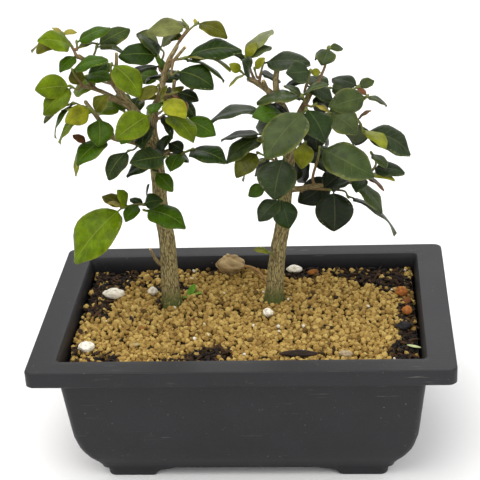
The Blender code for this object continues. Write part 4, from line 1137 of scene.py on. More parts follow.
# Leaf sprays: twigs and their leaves, which grow together.
SPRAYS: dict[str, list[Twig]] = {
    "left_spray_outer_tip": [
        Twig.of([(-38, 7, 136), (-41, 10, 141), (-45, 12, 146)],
                Leaf(0.92, (-57, 3, 140), 11, -15, Tone.OLIVE),
                Leaf(0.42, (-54, -2, 148), 13, -40, Tone.BRIGHT),
                Leaf(0.6, (-63, 18, 136), 14, 5, Tone.OLIVE),
                Leaf(1, (-38, 14, 146), 4, 30, Tone.BUD),
                Leaf(0.03, (-46, 0, 131), 8, -20, Tone.FRESH),
                Leaf(1, (-50, 13, 149), 4, -10, Tone.BUD)),
        Twig.of([(-38, 9, 139), (-38, 10, 142)],
                Leaf(1, (-22, 17, 147), 12, 15, Tone.FRESH),
                Leaf(0.4, (-29, 15, 140), 6, 5, Tone.OLIVE), fork=0.3),
    ],
    "left_spray_top_middle": [
        Twig.of([(-33, 14, 130), (-31, 18, 134), (-30, 20, 137)],
                Leaf(1, (-14, 27, 143), 12, 35, Tone.SAGE),
                Leaf(0.9, (-14, 13, 134), 10, -40, Tone.DEEP)),
    ],
    "left_spray_outer_upper": [
        Twig.of([(-35, 2, 122), (-38, 0, 128), (-39, -2, 132)],
                Leaf(1, (-21, -4, 138), 13, 20, Tone.FRESH),
                Leaf(0.15, (-41, 5, 130), 8, -40, Tone.OLIVE)),
        Twig.of([(-37, -4, 123), (-40, -5, 125)],
                Leaf(1, (-57, -9, 125), 12, -70, Tone.BRIGHT),
                Leaf(0.9, (-54, -11, 113), 13, -35, Tone.BRIGHT), fork=0.15),
    ],
    "left_spray_outer_middle": [
        Twig.of([(-26, -10, 108), (-28, -13, 114), (-30, -15, 117)],
                Leaf(0.6, (-22, -10, 122), 10, 20, Tone.OLIVE),
                Leaf(0.9, (-46, -20, 102), 15, 0, Tone.BRIGHT),
                Leaf(1, (-40, -26, 115), 10, -60, Tone.LIME),
                Leaf(0.3, (-26, -23, 101), 13, -5, Tone.FRESH),
                Leaf(0.6, (-46, -6, 113), 10, 0, Tone.BRIGHT)),
        Twig.of([(-37, -6, 116), (-39, -7, 117)],
                Leaf(1, (-56, -3, 106), 11, 20, Tone.PALE),
                Leaf(1, (-50, -9, 100), 11, 0, Tone.FRESH), fork=0.5),
    ],
    "left_spray_outer_lower": [
        Twig.of([(-21, -12, 101), (-28, -14, 100), (-34, -16, 99)],
                Leaf(0.15, (-37, -26, 93), 14, -5, Tone.FRESH),
                Leaf(1, (-39, -22, 85), 8, 20, Tone.LIME),
                Leaf(0.95, (-40, -13, 103), 5, -10, Tone.DRY),
                Leaf(0.1, (-25, -2, 103), 6, 45, Tone.DEEP)),
    ],
    "left_spray_inner_upper": [
        Twig.of([(-29, 3, 120), (-33, 4, 124), (-35, 4, 126)],
                Leaf(0.5, (-24, 9, 131), 11, 20, Tone.DEEP),
                Leaf(1, (-20, -1, 127), 11, 15, Tone.FRESH)),
    ],
    "left_spray_front_upper": [
        Twig.of([(-20, -1, 124), (-20, -4, 132), (-19, -6, 136)],
                Leaf(1, (-5, -15, 123), 14, 20, Tone.BRIGHT)),
    ],
    "left_spray_top_back": [
        Twig.of([(2, 8, 128), (2, 11, 131), (1, 13, 133)],
                Leaf(0.85, (-9, 21, 142), 13, 20, Tone.SLATE),
                Leaf(0.2, (-13, 5, 127), 12, 10, Tone.PAINTED_SHADE),
                Leaf(1, (-18, 9, 135), 13, -35, Tone.DEEP)),
        Twig.of([(3, 20, 132), (1, 22, 134)],
                Leaf(1, (-11, 30, 139), 11, 85, Tone.PALE),
                Leaf(1, (12, 27, 143), 10, -55, Tone.PALE), fork=0.3),
    ],
    "left_spray_leader": [
        Twig.of([(11, 12, 139), (14, 15, 143), (16, 17, 146), (14, 18, 149)],
                Leaf(0.25, (8, 24, 138), 6, -30, Tone.OLIVE),
                Leaf(0.7, (-5, 18, 144), 13, -30, Tone.PALE),
                Leaf(0.75, (2, 30, 142), 10, 0, Tone.OLIVE)),
        Twig.of([(17, 12, 146), (21, 13, 149)],
                Leaf(1, (36, 9, 143), 11, 15, Tone.OLIVE),
                Leaf(0.95, (20, 15, 151), 2, 0, Tone.BUD), fork=0.15),
    ],
    "left_spray_right_upper": [
        Twig.of([(8, 3, 134), (13, 2, 135), (16, 1, 136)],
                Leaf(1, (43, 4, 138), 18, 10, Tone.DEEP),
                Leaf(0.9, (38, -3, 131), 13, -10, Tone.OLIVE),
                Leaf(0.7, (35, -8, 127), 13, -20, Tone.DEEP)),
        Twig.of([(9, -3, 129), (12, -5, 131)],
                Leaf(0.6, (15, 4, 123), 10, 20, Tone.PAINTED_SHADE),
                Leaf(1, (30, -14, 126), 14, 30, Tone.DEEP), fork=0.2),
    ],
    "left_spray_right_middle": [
        Twig.of([(2, -1, 117), (8, -3, 119), (11, -4, 120)],
                Leaf(1, (22, -9, 118), 8, 20, Tone.PAINTED_SHADE),
                Leaf(0.85, (14, 2, 121), 4, 20, Tone.OLIVE),
                Leaf(0.8, (17, -15, 115), 7, -25, Tone.DRY),
                Leaf(0.9, (20, -7, 107), 11, 10, Tone.DEEP)),
    ],
    "left_spray_centre_front": [
        Twig.of([(0, -4, 114), (4, -14, 119), (6, -20, 122)],
                Leaf(1, (18, -30, 118), 11, 25, Tone.LIME),
                Leaf(0.5, (1, -25, 118), 8, 10, Tone.FRESH),
                Leaf(0.55, (8, -15, 128), 6, 55, Tone.OLIVE)),
        Twig.of([(3, -5, 122), (3, -7, 125)],
                Leaf(0.4, (-8, -5, 115), 11, 0, Tone.OLIVE),
                Leaf(1, (-6, -15, 121), 8, -20, Tone.OLIVE), fork=0.2),
    ],
    "left_spray_centre_back": [
        Twig.of([(4, 3, 123), (6, 5, 125), (6, 7, 126)],
                Leaf(0.6, (-6, 13, 120), 12, 10, Tone.PAINTED_SHADE),
                Leaf(1, (1, 14, 128), 5, -40, Tone.SAGE),
                Leaf(1, (0, 10, 134), 6, 0, Tone.FRESH)),
        Twig.of([(1, 20, 115), (-1, 26, 116)],
                Leaf(1, (-14, 36, 115), 11, -35, Tone.FRESH),
                Leaf(0.9, (10, 36, 115), 11, 25, Tone.DEEP), fork=0.25),
    ],
    "left_spray_right_front": [
        Twig.of([(1, -4, 107), (5, -13, 112), (7, -19, 115)],
                Leaf(1, (21, -32, 106), 14, -5, Tone.BRIGHT),
                Leaf(0.6, (9, -24, 108), 6, -20, Tone.PAINTED_SHADE),
                Leaf(0.25, (9, -16, 101), 6, -25, Tone.DEEP)),
        Twig.of([(10, -7, 107), (15, -10, 109)],
                Leaf(0.4, (4, -6, 114), 9, 10, Tone.OLIVE),
                Leaf(1, (30, -17, 103), 12, 25, Tone.FRESH), fork=0.15),
    ],
    "left_spray_right_lower": [
        Twig.of([(2, -6, 89), (11, -11, 91), (18, -15, 95)],
                Leaf(0.4, (15, -5, 85), 11, 20, Tone.DEEP),
                Leaf(1, (30, -13, 89), 7, -50, Tone.PALE),
                Leaf(0.85, (35, -27, 93), 15, 5, Tone.DEEP),
                Leaf(0.6, (8, -24, 88), 10, -5, Tone.FRESH),
                Leaf(0.7, (6, -9, 96), 8, -35, Tone.PAINTED_SHADE)),
    ],
    "left_spray_big_front": [
        Twig.of([(-3, -5, 102), (-1, -15, 111), (0, -22, 116)],
                Leaf(1, (-15, -36, 110), 14, -45, Tone.BRIGHT),
                Leaf(0.35, (-16, -21, 102), 12, -5, Tone.FRESH),
                Leaf(0.15, (-5, -24, 100), 12, 35, Tone.DEEP)),
        Twig.of([(-9, -16, 97), (-12, -20, 97)],
                Leaf(1, (-22, -29, 86), 12, -10, Tone.SLATE),
                Leaf(0.6, (-10, -16, 100), 2, -85, Tone.BUD), fork=0.15),
    ],
    "left_spray_trunk_upper": [
        Twig.of([(-2, -5, 84), (3, -15, 90), (6, -21, 94)],
                Leaf(0.25, (7, -8, 100), 12, 10, Tone.DEEP),
                Leaf(1, (-10, -32, 96), 13, -40, Tone.SLATE),
                Leaf(0.6, (-14, -23, 85), 15, -5, Tone.DEEP)),
        Twig.of([(0, -11, 80), (-1, -15, 83)],
                Leaf(0.5, (-12, -3, 88), 12, 30, Tone.DEEP),
                Leaf(1, (8, -22, 76), 8, 30, Tone.FRESH), fork=0.2),
    ],
    "left_spray_low_outer": [
        Twig.of([(-5, -3, 60), (-12, -8, 63), (-19, -11, 63)],
                Leaf(0.95, (-30, -6, 67), 8, -20, Tone.OLIVE),
                Leaf(0.9, (-20, -15, 74), 8, -80, Tone.BRIGHT),
                Leaf(1, (-26, -14, 67), 5, -15, Tone.BUD),
                Leaf(0.5, (-17, -19, 59), 8, -20, Tone.FRESH),
                Leaf(1, (-44, -24, 39), 25, -30, Tone.BRIGHT),
                Leaf(0.35, (-17, -1, 63), 5, -15, Tone.DEEP)),
        Twig.of([(-6, -9, 65), (-8, -12, 65)],
                Leaf(1, (2, -19, 70), 8, 75, Tone.DEEP),
                Leaf(0.3, (-6, -8, 74), 6, 100, Tone.PAINTED_SHADE), fork=0.12),
    ],
    "left_spray_trunk_lower": [
        Twig.of([(-2, -4, 53), (-5, -10, 59), (-8, -13, 62)],
                Leaf(1, (13, -21, 56), 15, 20, Tone.FRESH)),
    ],
    "left_spray_back_middle": [
        Twig.of([(-3, 6, 103), (-1, 20, 101), (2, 27, 101)],
                Leaf(1, (12, 36, 95), 10, 50, Tone.FRESH),
                Leaf(0.9, (2, 38, 108), 10, -15, Tone.DEEP),
                Leaf(0.6, (-9, 34, 87), 14, -80, Tone.OLIVE)),
        Twig.of([(-15, 18, 100), (-21, 24, 101)],
                Leaf(1, (-36, 34, 97), 12, -25, Tone.BRIGHT),
                Leaf(0.9, (-24, 34, 107), 10, -15, Tone.FRESH),
                Leaf(0.6, (-12, 30, 106), 10, 0, Tone.DEEP), fork=0.3),
    ],
    "left_spray_back_outer": [
        Twig.of([(-22, 6, 122), (-27, 16, 119), (-31, 20, 119)],
                Leaf(1, (-46, 28, 110), 13, -40, Tone.BRIGHT),
                Leaf(0.9, (-29, 32, 125), 10, -10, Tone.FRESH)),
    ],
    "right_spray_inner_top": [
        Twig.of([(-5, 4, 121), (-8, 8, 127), (-10, 10, 131)],
                Leaf(1, (-4, 12, 138), 6, 35, Tone.LIME),
                Leaf(0.95, (3, 17, 134), 10, 10, Tone.SAGE),
                Leaf(1, (3, 29, 139), 13, -15, Tone.PALE),
                Leaf(0.9, (-17, 5, 137), 6, -40, Tone.PAINTED_SHADE)),
        Twig.of([(-9, -3, 127), (-11, -4, 129)],
                Leaf(1, (-16, -7, 134), 5, -85, Tone.LIME),
                Leaf(0.4, (-9, -12, 137), 12, -100, Tone.SLATE),
                Leaf(0.6, (-17, -8, 123), 6, 15, Tone.LIME), fork=0.5),
    ],
    "right_spray_dome": [
        Twig.of([(-3, 4, 121), (-2, 8, 125), (-1, 10, 128)],
                Leaf(0.4, (7, 14, 117), 11, 20, Tone.SLATE),
                Leaf(1, (22, 4, 130), 15, 20, Tone.SLATE)),
        Twig.of([(-4, 4, 123), (-5, 4, 127)],
                Leaf(1, (0, 4, 133), 5, 40, Tone.LIME), fork=0.25),
    ],
    "right_spray_leader": [
        Twig.of([(26, 6, 120), (29, 9, 126), (31, 12, 134)],
                Leaf(1, (28, 3, 129), 10, -5, Tone.SAGE),
                Leaf(1, (38, 17, 132), 5, 40, Tone.SAGE),
                Leaf(0.6, (34, 15, 129), 4, -10, Tone.OLIVE),
                Leaf(0.98, (24, 10, 129), 5, -10, Tone.SLATE)),
    ],
    "right_spray_top_middle": [
        Twig.of([(19, 1, 116), (21, 2, 122), (22, 2, 126)],
                Leaf(0.3, (33, -2, 112), 11, 10, Tone.SLATE),
                Leaf(1, (11, -5, 128), 12, -50, Tone.SLATE),
                Leaf(1, (27, 6, 124), 4, 75, Tone.LIME),
                Leaf(0.5, (9, 6, 117), 7, -20, Tone.PAINTED_SHADE)),
    ],
    "right_spray_outer_top": [
        Twig.of([(39, -1, 106), (45, -2, 110), (49, -2, 114)],
                Leaf(1, (31, -10, 112), 13, -50, Tone.SAGE),
                Leaf(0.95, (59, 3, 107), 7, 10, Tone.SAGE)),
        Twig.of([(41, 7, 113), (45, 9, 115)],
                Leaf(1, (32, 16, 117), 10, -20, Tone.SLATE),
                Leaf(1, (53, 12, 117), 6, 40, Tone.SAGE),
                Leaf(0.95, (49, 6, 112), 4, 10, Tone.DRY), fork=0.3),
    ],
    "right_spray_centre_upper": [
        Twig.of([(18, -1, 108), (19, -4, 113), (18, -5, 116)],
                Leaf(0.7, (9, 4, 112), 11, 10, Tone.SLATE),
                Leaf(1, (-4, -9, 115), 15, -5, Tone.SAGE),
                Leaf(1, (9, 0, 120), 6, -5, Tone.SAGE),
                Leaf(1, (31, -8, 123), 8, 10, Tone.SAGE)),
        Twig.of([(22, -6, 111), (24, -6, 112)],
                Leaf(1, (31, -8, 109), 5, 0, Tone.BUD),
                Leaf(0.8, (30, 0, 114), 7, 15, Tone.PAINTED_SHADE), fork=0.45),
    ],
    "right_spray_inner_front": [
        Twig.of([(15, -4, 102), (19, -16, 112), (20, -21, 115)],
                Leaf(1, (1, -40, 99), 21, -10, Tone.SAGE)),
        Twig.of([(6, -7, 109), (-1, -10, 111)],
                Leaf(1, (-27, -13, 107), 18, 0, Tone.SLATE),
                Leaf(0.4, (-5, -20, 112), 13, -25, Tone.FRESH),
                Leaf(0.25, (2, -3, 112), 7, 5, Tone.PAINTED_SHADE), fork=0.15),
    ],
    "right_spray_centre_front": [
        Twig.of([(20, -5, 104), (20, -9, 109), (20, -11, 112)],
                Leaf(1, (29, -22, 99), 17, 10, Tone.DEEP)),
        Twig.of([(25, -8, 108), (31, -8, 108)],
                Leaf(1, (44, -17, 101), 14, 30, Tone.SAGE), fork=0.6),
    ],
    "right_spray_big_front": [
        Twig.of([(22, -6, 74), (25, -13, 87), (26, -19, 95)],
                Leaf(1, (52, -30, 84), 20, 35, Tone.SAGE)),
    ],
    "right_spray_outer_upper": [
        Twig.of([(39, -3, 106), (45, -4, 102), (47, -5, 97)],
                Leaf(0.7, (43, 4, 87), 13, 20, Tone.PAINTED_SHADE),
                Leaf(0.2, (34, 8, 95), 12, 10, Tone.DEEP),
                Leaf(1, (70, -9, 86), 17, 20, Tone.SLATE),
                Leaf(0.95, (58, -16, 93), 11, -10, Tone.LIME),
                Leaf(0.5, (51, -5, 108), 5, 0, Tone.DRY)),
    ],
    "right_spray_outer_middle": [
        Twig.of([(41, -5, 70), (49, -9, 76), (53, -10, 82), (51, -9, 87)],
                Leaf(0.62, (67, -12, 78), 11, 25, Tone.SLATE),
                Leaf(0.4, (62, -16, 76), 8, -5, Tone.LIME),
                Leaf(1, (58, -18, 83), 8, -5, Tone.SAGE),
                Leaf(0.35, (57, -13, 69), 7, -15, Tone.DRY),
                Leaf(0.3, (43, -20, 72), 8, -5, Tone.DEEP),
                Leaf(0.1, (56, -15, 58), 14, -10, Tone.SAGE)),
    ],
    "right_spray_inner_middle": [
        Twig.of([(7, -3, 80), (0, -8, 86), (-4, -10, 89)],
                Leaf(1, (-15, -20, 81), 11, -30, Tone.OLIVE),
                Leaf(0.6, (-13, -9, 74), 10, 5, Tone.PALE),
                Leaf(0.5, (-7, -4, 74), 7, -30, Tone.SLATE)),
        Twig.of([(2, -5, 93), (-2, -6, 97)],
                Leaf(1, (-23, -2, 93), 12, 0, Tone.SLATE),
                Leaf(0.9, (-20, -14, 86), 15, -5, Tone.SAGE),
                Leaf(0.5, (-4, -14, 98), 7, -35, Tone.OLIVE), fork=0.25),
    ],
    "right_spray_trunk_lower": [
        Twig.of([(7, -3, 56), (7, -9, 62), (6, -12, 65)],
                Leaf(1, (-5, -20, 57), 11, -20, Tone.SLATE),
                Leaf(1, (10, -17, 51), 13, 15, Tone.DEEP)),
        Twig.of([(1, -4, 66), (-2, -5, 69)],
                Leaf(1, (-10, -10, 66), 7, -55, Tone.FRESH), fork=0.3),
    ],
    "right_spray_trunk_front": [
        Twig.of([(9, -5, 76), (9, -15, 86), (9, -20, 91)],
                Leaf(1, (4, -32, 74), 20, -5, Tone.SLATE)),
        Twig.of([(17, -9, 92), (19, -12, 95)],
                Leaf(1, (17, -21, 85), 10, -10, Tone.LIME), fork=0.3),
    ],
    "right_spray_shade": [
        Twig.of([(17, 3, 62), (25, 6, 65), (31, 8, 67)],
                Leaf(0.85, (37, 12, 78), 13, 40, Tone.PAINTED_SHADE),
                Leaf(1, (14, 1, 57), 14, -65, Tone.PAINTED_SHADE)),
    ],
    "right_spray_low_outer": [
        Twig.of([(21, -4, 67), (28, -8, 68), (32, -11, 69)],
                Leaf(0.85, (40, -13, 74), 12, 15, Tone.SLATE),
                Leaf(1, (32, -19, 50), 19, 0, Tone.PAINTED_SHADE),
                Leaf(0.5, (37, 0, 74), 13, 20, Tone.PAINTED_SHADE)),
        Twig.of([(37, -8, 67), (39, -10, 65)],
                Leaf(1, (63, -14, 46), 17, -15, Tone.SLATE), fork=0.6),
    ],
    "right_spray_sprout": [
        Twig.of([(2, -4, 29), (0, -6, 32), (-1, -7, 33)],
                Leaf(1, (-9, -9, 36), 5, -15, Tone.LIME)),
    ],
    "right_spray_back_middle": [
        Twig.of([(16, 5, 102), (24, 18, 97), (29, 24, 95)],
                Leaf(0.45, (24, 11, 80), 13, 25, Tone.PAINTED_SHADE),
                Leaf(0.3, (15, 9, 84), 13, 20, Tone.PAINTED_SHADE),
                Leaf(1, (41, 34, 89), 11, 45, Tone.SAGE),
                Leaf(0.9, (27, 36, 101), 10, -25, Tone.SLATE),
                Leaf(0.6, (29, 30, 77), 17, 75, Tone.PAINTED_SHADE)),
        Twig.of([(8, 18, 93), (3, 25, 92)],
                Leaf(0.5, (-3, 12, 92), 12, 10, Tone.DEEP),
                Leaf(1, (-8, 34, 85), 11, -50, Tone.SLATE),
                Leaf(0.9, (3, 36, 98), 10, -20, Tone.SAGE),
                Leaf(0.6, (15, 32, 78), 14, 75, Tone.PAINTED_SHADE), fork=0.25),
    ],
    "right_spray_back_outer": [
        Twig.of([(22, 6, 115), (27, 17, 112), (31, 22, 110)],
                Leaf(1, (42, 30, 102), 11, 50, Tone.SAGE),
                Leaf(0.9, (21, 32, 113), 10, -20, Tone.SLATE)),
    ],
    "right_spray_back_lower": [
        Twig.of([(11, 4, 79), (16, 16, 75), (21, 22, 71)],
                Leaf(0.3, (13, 8, 66), 12, 30, Tone.PAINTED_SHADE),
                Leaf(0.8, (30, 14, 80), 12, 20, Tone.DEEP),
                Leaf(1, (34, 30, 63), 12, 45, Tone.SLATE),
                Leaf(0.9, (13, 26, 57), 12, -75, Tone.PAINTED_SHADE)),
    ],
}


@dataclass
class Wood:
    """A tree's grown wood: a fissured trunk that flares into the soil, boughs, stubs and cuts."""

    side: str
    foot: Array
    limbs: dict[str, Limb]
    seed: int
    root_depth: float = 15.5
    flare: float = 1.25
    split: float = 0.34
    trunk_radius: float = 4.6
    moss_top: float = 16.0

    def relief(self, thick: float, rise: Array, turn: Array, number: int) -> Array:
        """Long furrows 0.45 - 1.6 |noise|, drawn out along the limb, plus slow bulges."""
        lengthwise = np.stack([np.cos(turn) * thick + 0 * rise[:, None],
                               np.sin(turn) * thick + 0 * rise[:, None],
                               0.16 * rise[:, None] + 0 * turn], axis=-1)
        furrow = value_noise(lengthwise, 1.0, self.seed + number)
        bulge = value_noise(lengthwise, 3.1, self.seed + number + 40)
        depth = self.split * min(thick / self.trunk_radius, 1.0) ** 0.6
        return depth * (-np.abs(furrow) * 1.6 + 0.45) + 0.55 * depth * bulge

    @staticmethod
    def ended(path: Array, radius: Array, rise: Array,
              sawn: bool) -> tuple[Array, Array, Array, Array]:
        """Adds two rings past a limb's end: a flat pale face where it is sawn, else a blunt point.

        Returns:
            The path, radius and rise with the rings added, and 1 where the wood is cut.
        """
        steps, sizes = ((0.05, 0.1), (0.96, 0.6)) if sawn else ((0.6, 0.9), (0.75, 0.35))
        tips = path[-1] + unit(path[-1] - path[-2]) * np.array(steps)[:, None]
        rings = radius[-1] * np.array(sizes)[:, None]
        further = rise[-1] + (np.zeros(2) if sawn else np.array(steps))
        cut = np.vstack([np.zeros_like(radius), np.full(rings.shape, float(sawn))])
        return (np.vstack([path, tips]), np.vstack([radius, rings]),
                np.concatenate([rise, further]), cut)

    def limb(self, name: str, number: int) -> Surface:
        """One limb carried along its smoothed path: radius = taper + swell + relief.

        The swell is three and five root lobes at the trunk's foot, and a collar on other limbs.
        """
        shape = self.limbs[name]
        points = self.foot + np.array(shape.points, float)
        trunk = name == "trunk"
        if trunk:
            points = np.vstack([self.foot - (0, 0, self.root_depth), points])
        path = smooth_path(points, 0.8 if trunk else 0.9)
        steps = np.linalg.norm(np.diff(path, axis=0), axis=1)
        reach = np.concatenate(([0.0], np.cumsum(steps)))
        rise = reach - self.root_depth if trunk else reach
        share = np.clip(rise / rise[-1], 0, 1)
        sides = 56 if trunk else (26 if shape.thick > 1.4 else 16)
        turn = np.arange(sides)[None] * (2 * math.pi / sides)
        radius = (shape.thick + (shape.thin - shape.thick) * share)[:, None] * np.ones_like(turn)
        if trunk:
            lobes = 1 + 0.35 * np.cos(3 * turn + self.seed) + 0.25 * np.cos(5 * turn)
            radius += self.flare * np.exp(-np.maximum(rise, 0) / 5.0)[:, None] * lobes
        else:
            radius += 0.45 * shape.thick * np.exp(-reach / (1.6 * shape.thick))[:, None]
        radius += self.relief(shape.thick, rise, turn, number)
        path, radius, rise, cut = self.ended(path, radius, rise, shape.sawn)
        round_it = turn * shape.thick * MM
        run = np.stack([rise[:, None] * MM + 0 * round_it, round_it * np.ones_like(rise[:, None]),
                        np.full(radius.shape, number * 0.07)], axis=-1)
        youth = np.clip(1.25 - (radius / 2.3), 0, 1)
        height = path[:, 2] - self.foot[2]
        damp = (1 - ease(3.0, self.moss_top, height))[:, None] * np.ones_like(turn)
        moss = damp if trunk else np.zeros_like(radius)
        return sweep(path, radius, {"run": run, "kind": np.stack([cut, youth, moss], axis=-1)})

    def build(self, finish: bpy.types.Material) -> None:
        """Makes the whole wood as one piece."""
        limbs = [self.limb(name, number) for number, name in enumerate(self.limbs)]
        node = f"{self.side}_tree_wood"
        make_piece(f"{self.side}_bark", joined(limbs), finish, [node], 50.0)

    def nearest(self, point: Array) -> Array:
        """The nearest point to this one on the middle lines of the limbs."""
        lines = [self.foot + np.array(limb.points, float) for limb in self.limbs.values()]
        starts = np.concatenate([line[:-1] for line in lines])
        steps = np.concatenate([np.diff(line, axis=0) for line in lines])
        share = np.clip(((point - starts) * steps).sum(axis=1) / (steps ** 2).sum(axis=1), 0, 1)
        places = starts + steps * share[:, None]
        return places[np.argmin(np.linalg.norm(places - point, axis=1))]


@dataclass
class Spray:
    """One spray: its twigs as one piece and its leaves as another."""

    name: str
    twigs: Sequence[Twig]
    wood: Wood
    seed: int
    twig_radius: float = 0.78
    petiole: float = 0.42
    blade: float = 0.17
    fold: float = 0.24
    arch: float = 0.10
    stalk: float = 0.09
    stations: tuple[float, ...] = (0, 0.05, 0.085, 0.11, 0.15, 0.21, 0.29, 0.38, 0.47, 0.56, 0.65,
                                   0.74, 0.82, 0.89, 0.945, 0.98, 0.998)

    def lines(self) -> list[Array]:
        """The twigs' paths: the first from inside the wood, side twigs from the first."""
        paths: list[Array] = []
        first = None
        for twig in self.twigs:
            points = self.wood.foot + np.array(twig.points, float)
            if twig.fork is None:
                first = points
                start = self.wood.nearest(points[0])
                paths.append(points if np.linalg.norm(start - points[0]) < 0.4
                             else np.vstack([start, points]))
            else:
                paths.append(np.vstack([along(first, twig.fork), points]))
        return paths

    def attach(self, twig: Twig, first: Array, at: float) -> Array:
        """Where on a twig a leaf grows."""
        points = self.wood.foot + np.array(twig.points, float)
        line = points if twig.fork is None else np.vstack([along(first, twig.fork), points])
        return along(line, at)

    def twig_surface(self, line: Array, bases: list[Array], thick: float) -> Surface:
        """A tapering tube with a swelling at each leaf and a small bud at its end.

        Args:
            line: The twig's points.
            bases: Where its leaves grow.
            thick: Its radius where it starts.

        Returns:
            The closed tube.
        """
        path = smooth_path(line, 0.7)
        reach = np.concatenate(([0.0], np.cumsum(np.linalg.norm(np.diff(path, axis=0), axis=1))))
        share = reach / reach[-1]
        radius = thick * (1 - 0.38 * share)
        radius += 0.35 * thick * np.exp(-reach / 1.2)
        for base in bases:
            away = np.linalg.norm(path - base, axis=1)
            radius += 0.22 * np.exp(-(away / 0.8) ** 2)
        tail = unit(path[-1] - path[-2])
        path = np.vstack([path, *(path[-1] + tail * step for step in (0.5, 1.1, 1.6))])
        radius = np.concatenate([radius, radius[-1] * np.array((1.12, 0.8, 0.25))])
        share = np.concatenate([share, (1.0, 1.0, 1.0)])
        turn = np.arange(8)[None] * (math.pi / 4)
        uneven = 0.05 * value_noise(path, 0.9, self.seed)[:, None] * np.cos(turn)
        rings = radius[:, None] * (1 + uneven)
        run = np.stack([share[:, None] + 0 * turn, turn * 0.001 + 0 * share[:, None],
                        np.full(rings.shape, 0.0)], axis=-1)
        return sweep(path, rings, {"run": run})

    @staticmethod
    def leaf_frame(base: Array, tip: Array, roll: float) -> tuple[Array, Array, Array]:
        """A leaf's directions: to its tip, across it, and out of its upper side."""
        ahead = unit(tip - base)
        up = unit(np.array((0.0, 0.0, 1.0)) - ahead * ahead[2])
        side = np.cross(ahead, up)
        angle = math.radians(roll)
        normal = up * math.cos(angle) + side * math.sin(angle)
        return ahead, np.cross(ahead, normal), normal

    def leaf_surface(self, base: Array, grown: Leaf, draw: np.random.Generator) -> Surface:
        """A leaf as lens sections carried along its arched midrib.

        Half width = w/2 sin(pi b^0.85)^0.62 with b the share of the blade passed, drawn to a
        point; the blade rises from the midrib in a soft V, ripples at its margin and twists.
        """
        tip = self.wood.foot + np.array(grown.tip, float)
        length = float(np.linalg.norm(tip - base))
        ahead, across, normal = self.leaf_frame(base, tip, grown.roll)
        stations = np.array(self.stations)
        blade = np.clip((stations - self.stalk) / (1 - self.stalk), 0, 1)
        outline = np.sin(math.pi * blade ** 0.85) ** 0.62 * (1 - 0.22 * ease(0.72, 1.0, blade))
        outline[-1] = 0.015
        half = np.maximum(grown.width / 2 * outline, np.where(stations < 0.5, self.petiole, 0.06))
        thick = np.where(blade > 0, self.blade, self.petiole)
        thick = np.maximum(thick * (1 - 0.35 * stations), self.blade * 0.5)
        columns = np.linspace(-1, 1, 9)
        t = np.concatenate([columns, columns[::-1][1:-1]])
        face = np.concatenate([np.ones(9), -np.ones(7)])
        lens = face * np.sqrt(np.maximum(1 - t ** 2, 0))
        lens[[0, 8]] = 0.0
        s = stations[:, None]
        skew = draw.uniform(-0.05, 0.05)
        bend = self.arch + draw.uniform(-0.025, 0.03)
        sideways = draw.uniform(-0.05, 0.05)
        rise = bend * length * 4 * s * (1 - s)
        rib = 0.35 * self.petiole * np.exp(-(t * half[:, None] / 0.45) ** 2) * (face < 0)
        soft = np.sqrt(t ** 2 + 0.035) - math.sqrt(0.035)
        beyond_stalk = (half[:, None] - self.petiole).clip(0)
        open_v = self.fold * draw.uniform(0.6, 1.25) * beyond_stalk * soft
        ripple = (0.035 * grown.width * np.sin(2 * math.pi * (s * draw.uniform(1.6, 2.6)
                  + draw.uniform() + 0.25 * np.sign(t))) * t ** 2 * (blade[:, None] > 0))
        droop = -0.10 * grown.width * t ** 4 * (blade[:, None] > 0)
        twist = math.radians(draw.uniform(-14, 14)) * s
        offset_across = half[:, None] * t * (1 + skew * np.sign(t))
        offset_up = thick[:, None] * lens - rib + open_v + ripple + droop
        turned_across = offset_across * np.cos(twist) - offset_up * np.sin(twist)
        turned_up = offset_across * np.sin(twist) + offset_up * np.cos(twist)
        aside = sideways * length * 4 * s * (1 - s)
        middle = (base + ahead * length * s[..., None] + normal * rise[..., None]
                  + across * aside[..., None])
        rings = middle + across * turned_across[..., None] + normal * turned_up[..., None]
        look = grown.tone.value
        place = np.stack([stations[:, None] + 0 * t, t + 0 * s, (lens > -0.01) + 0 * s], axis=-1)
        shift = 1 + draw.uniform(-0.14, 0.14)
        greener = (1, 1 + draw.uniform(-0.05, 0.05), 1)
        tint = np.zeros(rings.shape) + np.array(look.color) * shift * greener
        trait = np.zeros(rings.shape) + np.array((look.margin, look.spots, look.veins))
        return closed_loft(rings, {"place": place, "tint": tint, "trait": trait})

    def build(self, skin: bpy.types.Material, leaf_skin: bpy.types.Material) -> None:
        """Makes the spray's twigs and its leaves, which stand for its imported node."""
        draw = np.random.default_rng(self.seed)
        twigs, leaves = [], []
        first = self.wood.foot + np.array(self.twigs[0].points, float)
        for number, (twig, line) in enumerate(zip(self.twigs, self.lines())):
            bases = [self.attach(twig, first, grown.at) for grown in twig.leaves]
            thick = self.twig_radius * (1 - 0.12 * (number > 0))
            twigs.append(self.twig_surface(line, bases, thick))
            leaves += [self.leaf_surface(base, grown, draw)
                       for base, grown in zip(bases, twig.leaves)]
        make_piece(f"{self.name}_leaves", joined(leaves), leaf_skin, [self.name], 70.0)
        make_piece(f"{self.name}_twigs", joined(twigs), skin, [self.name])


# ---------------------------------------------------------------- studio


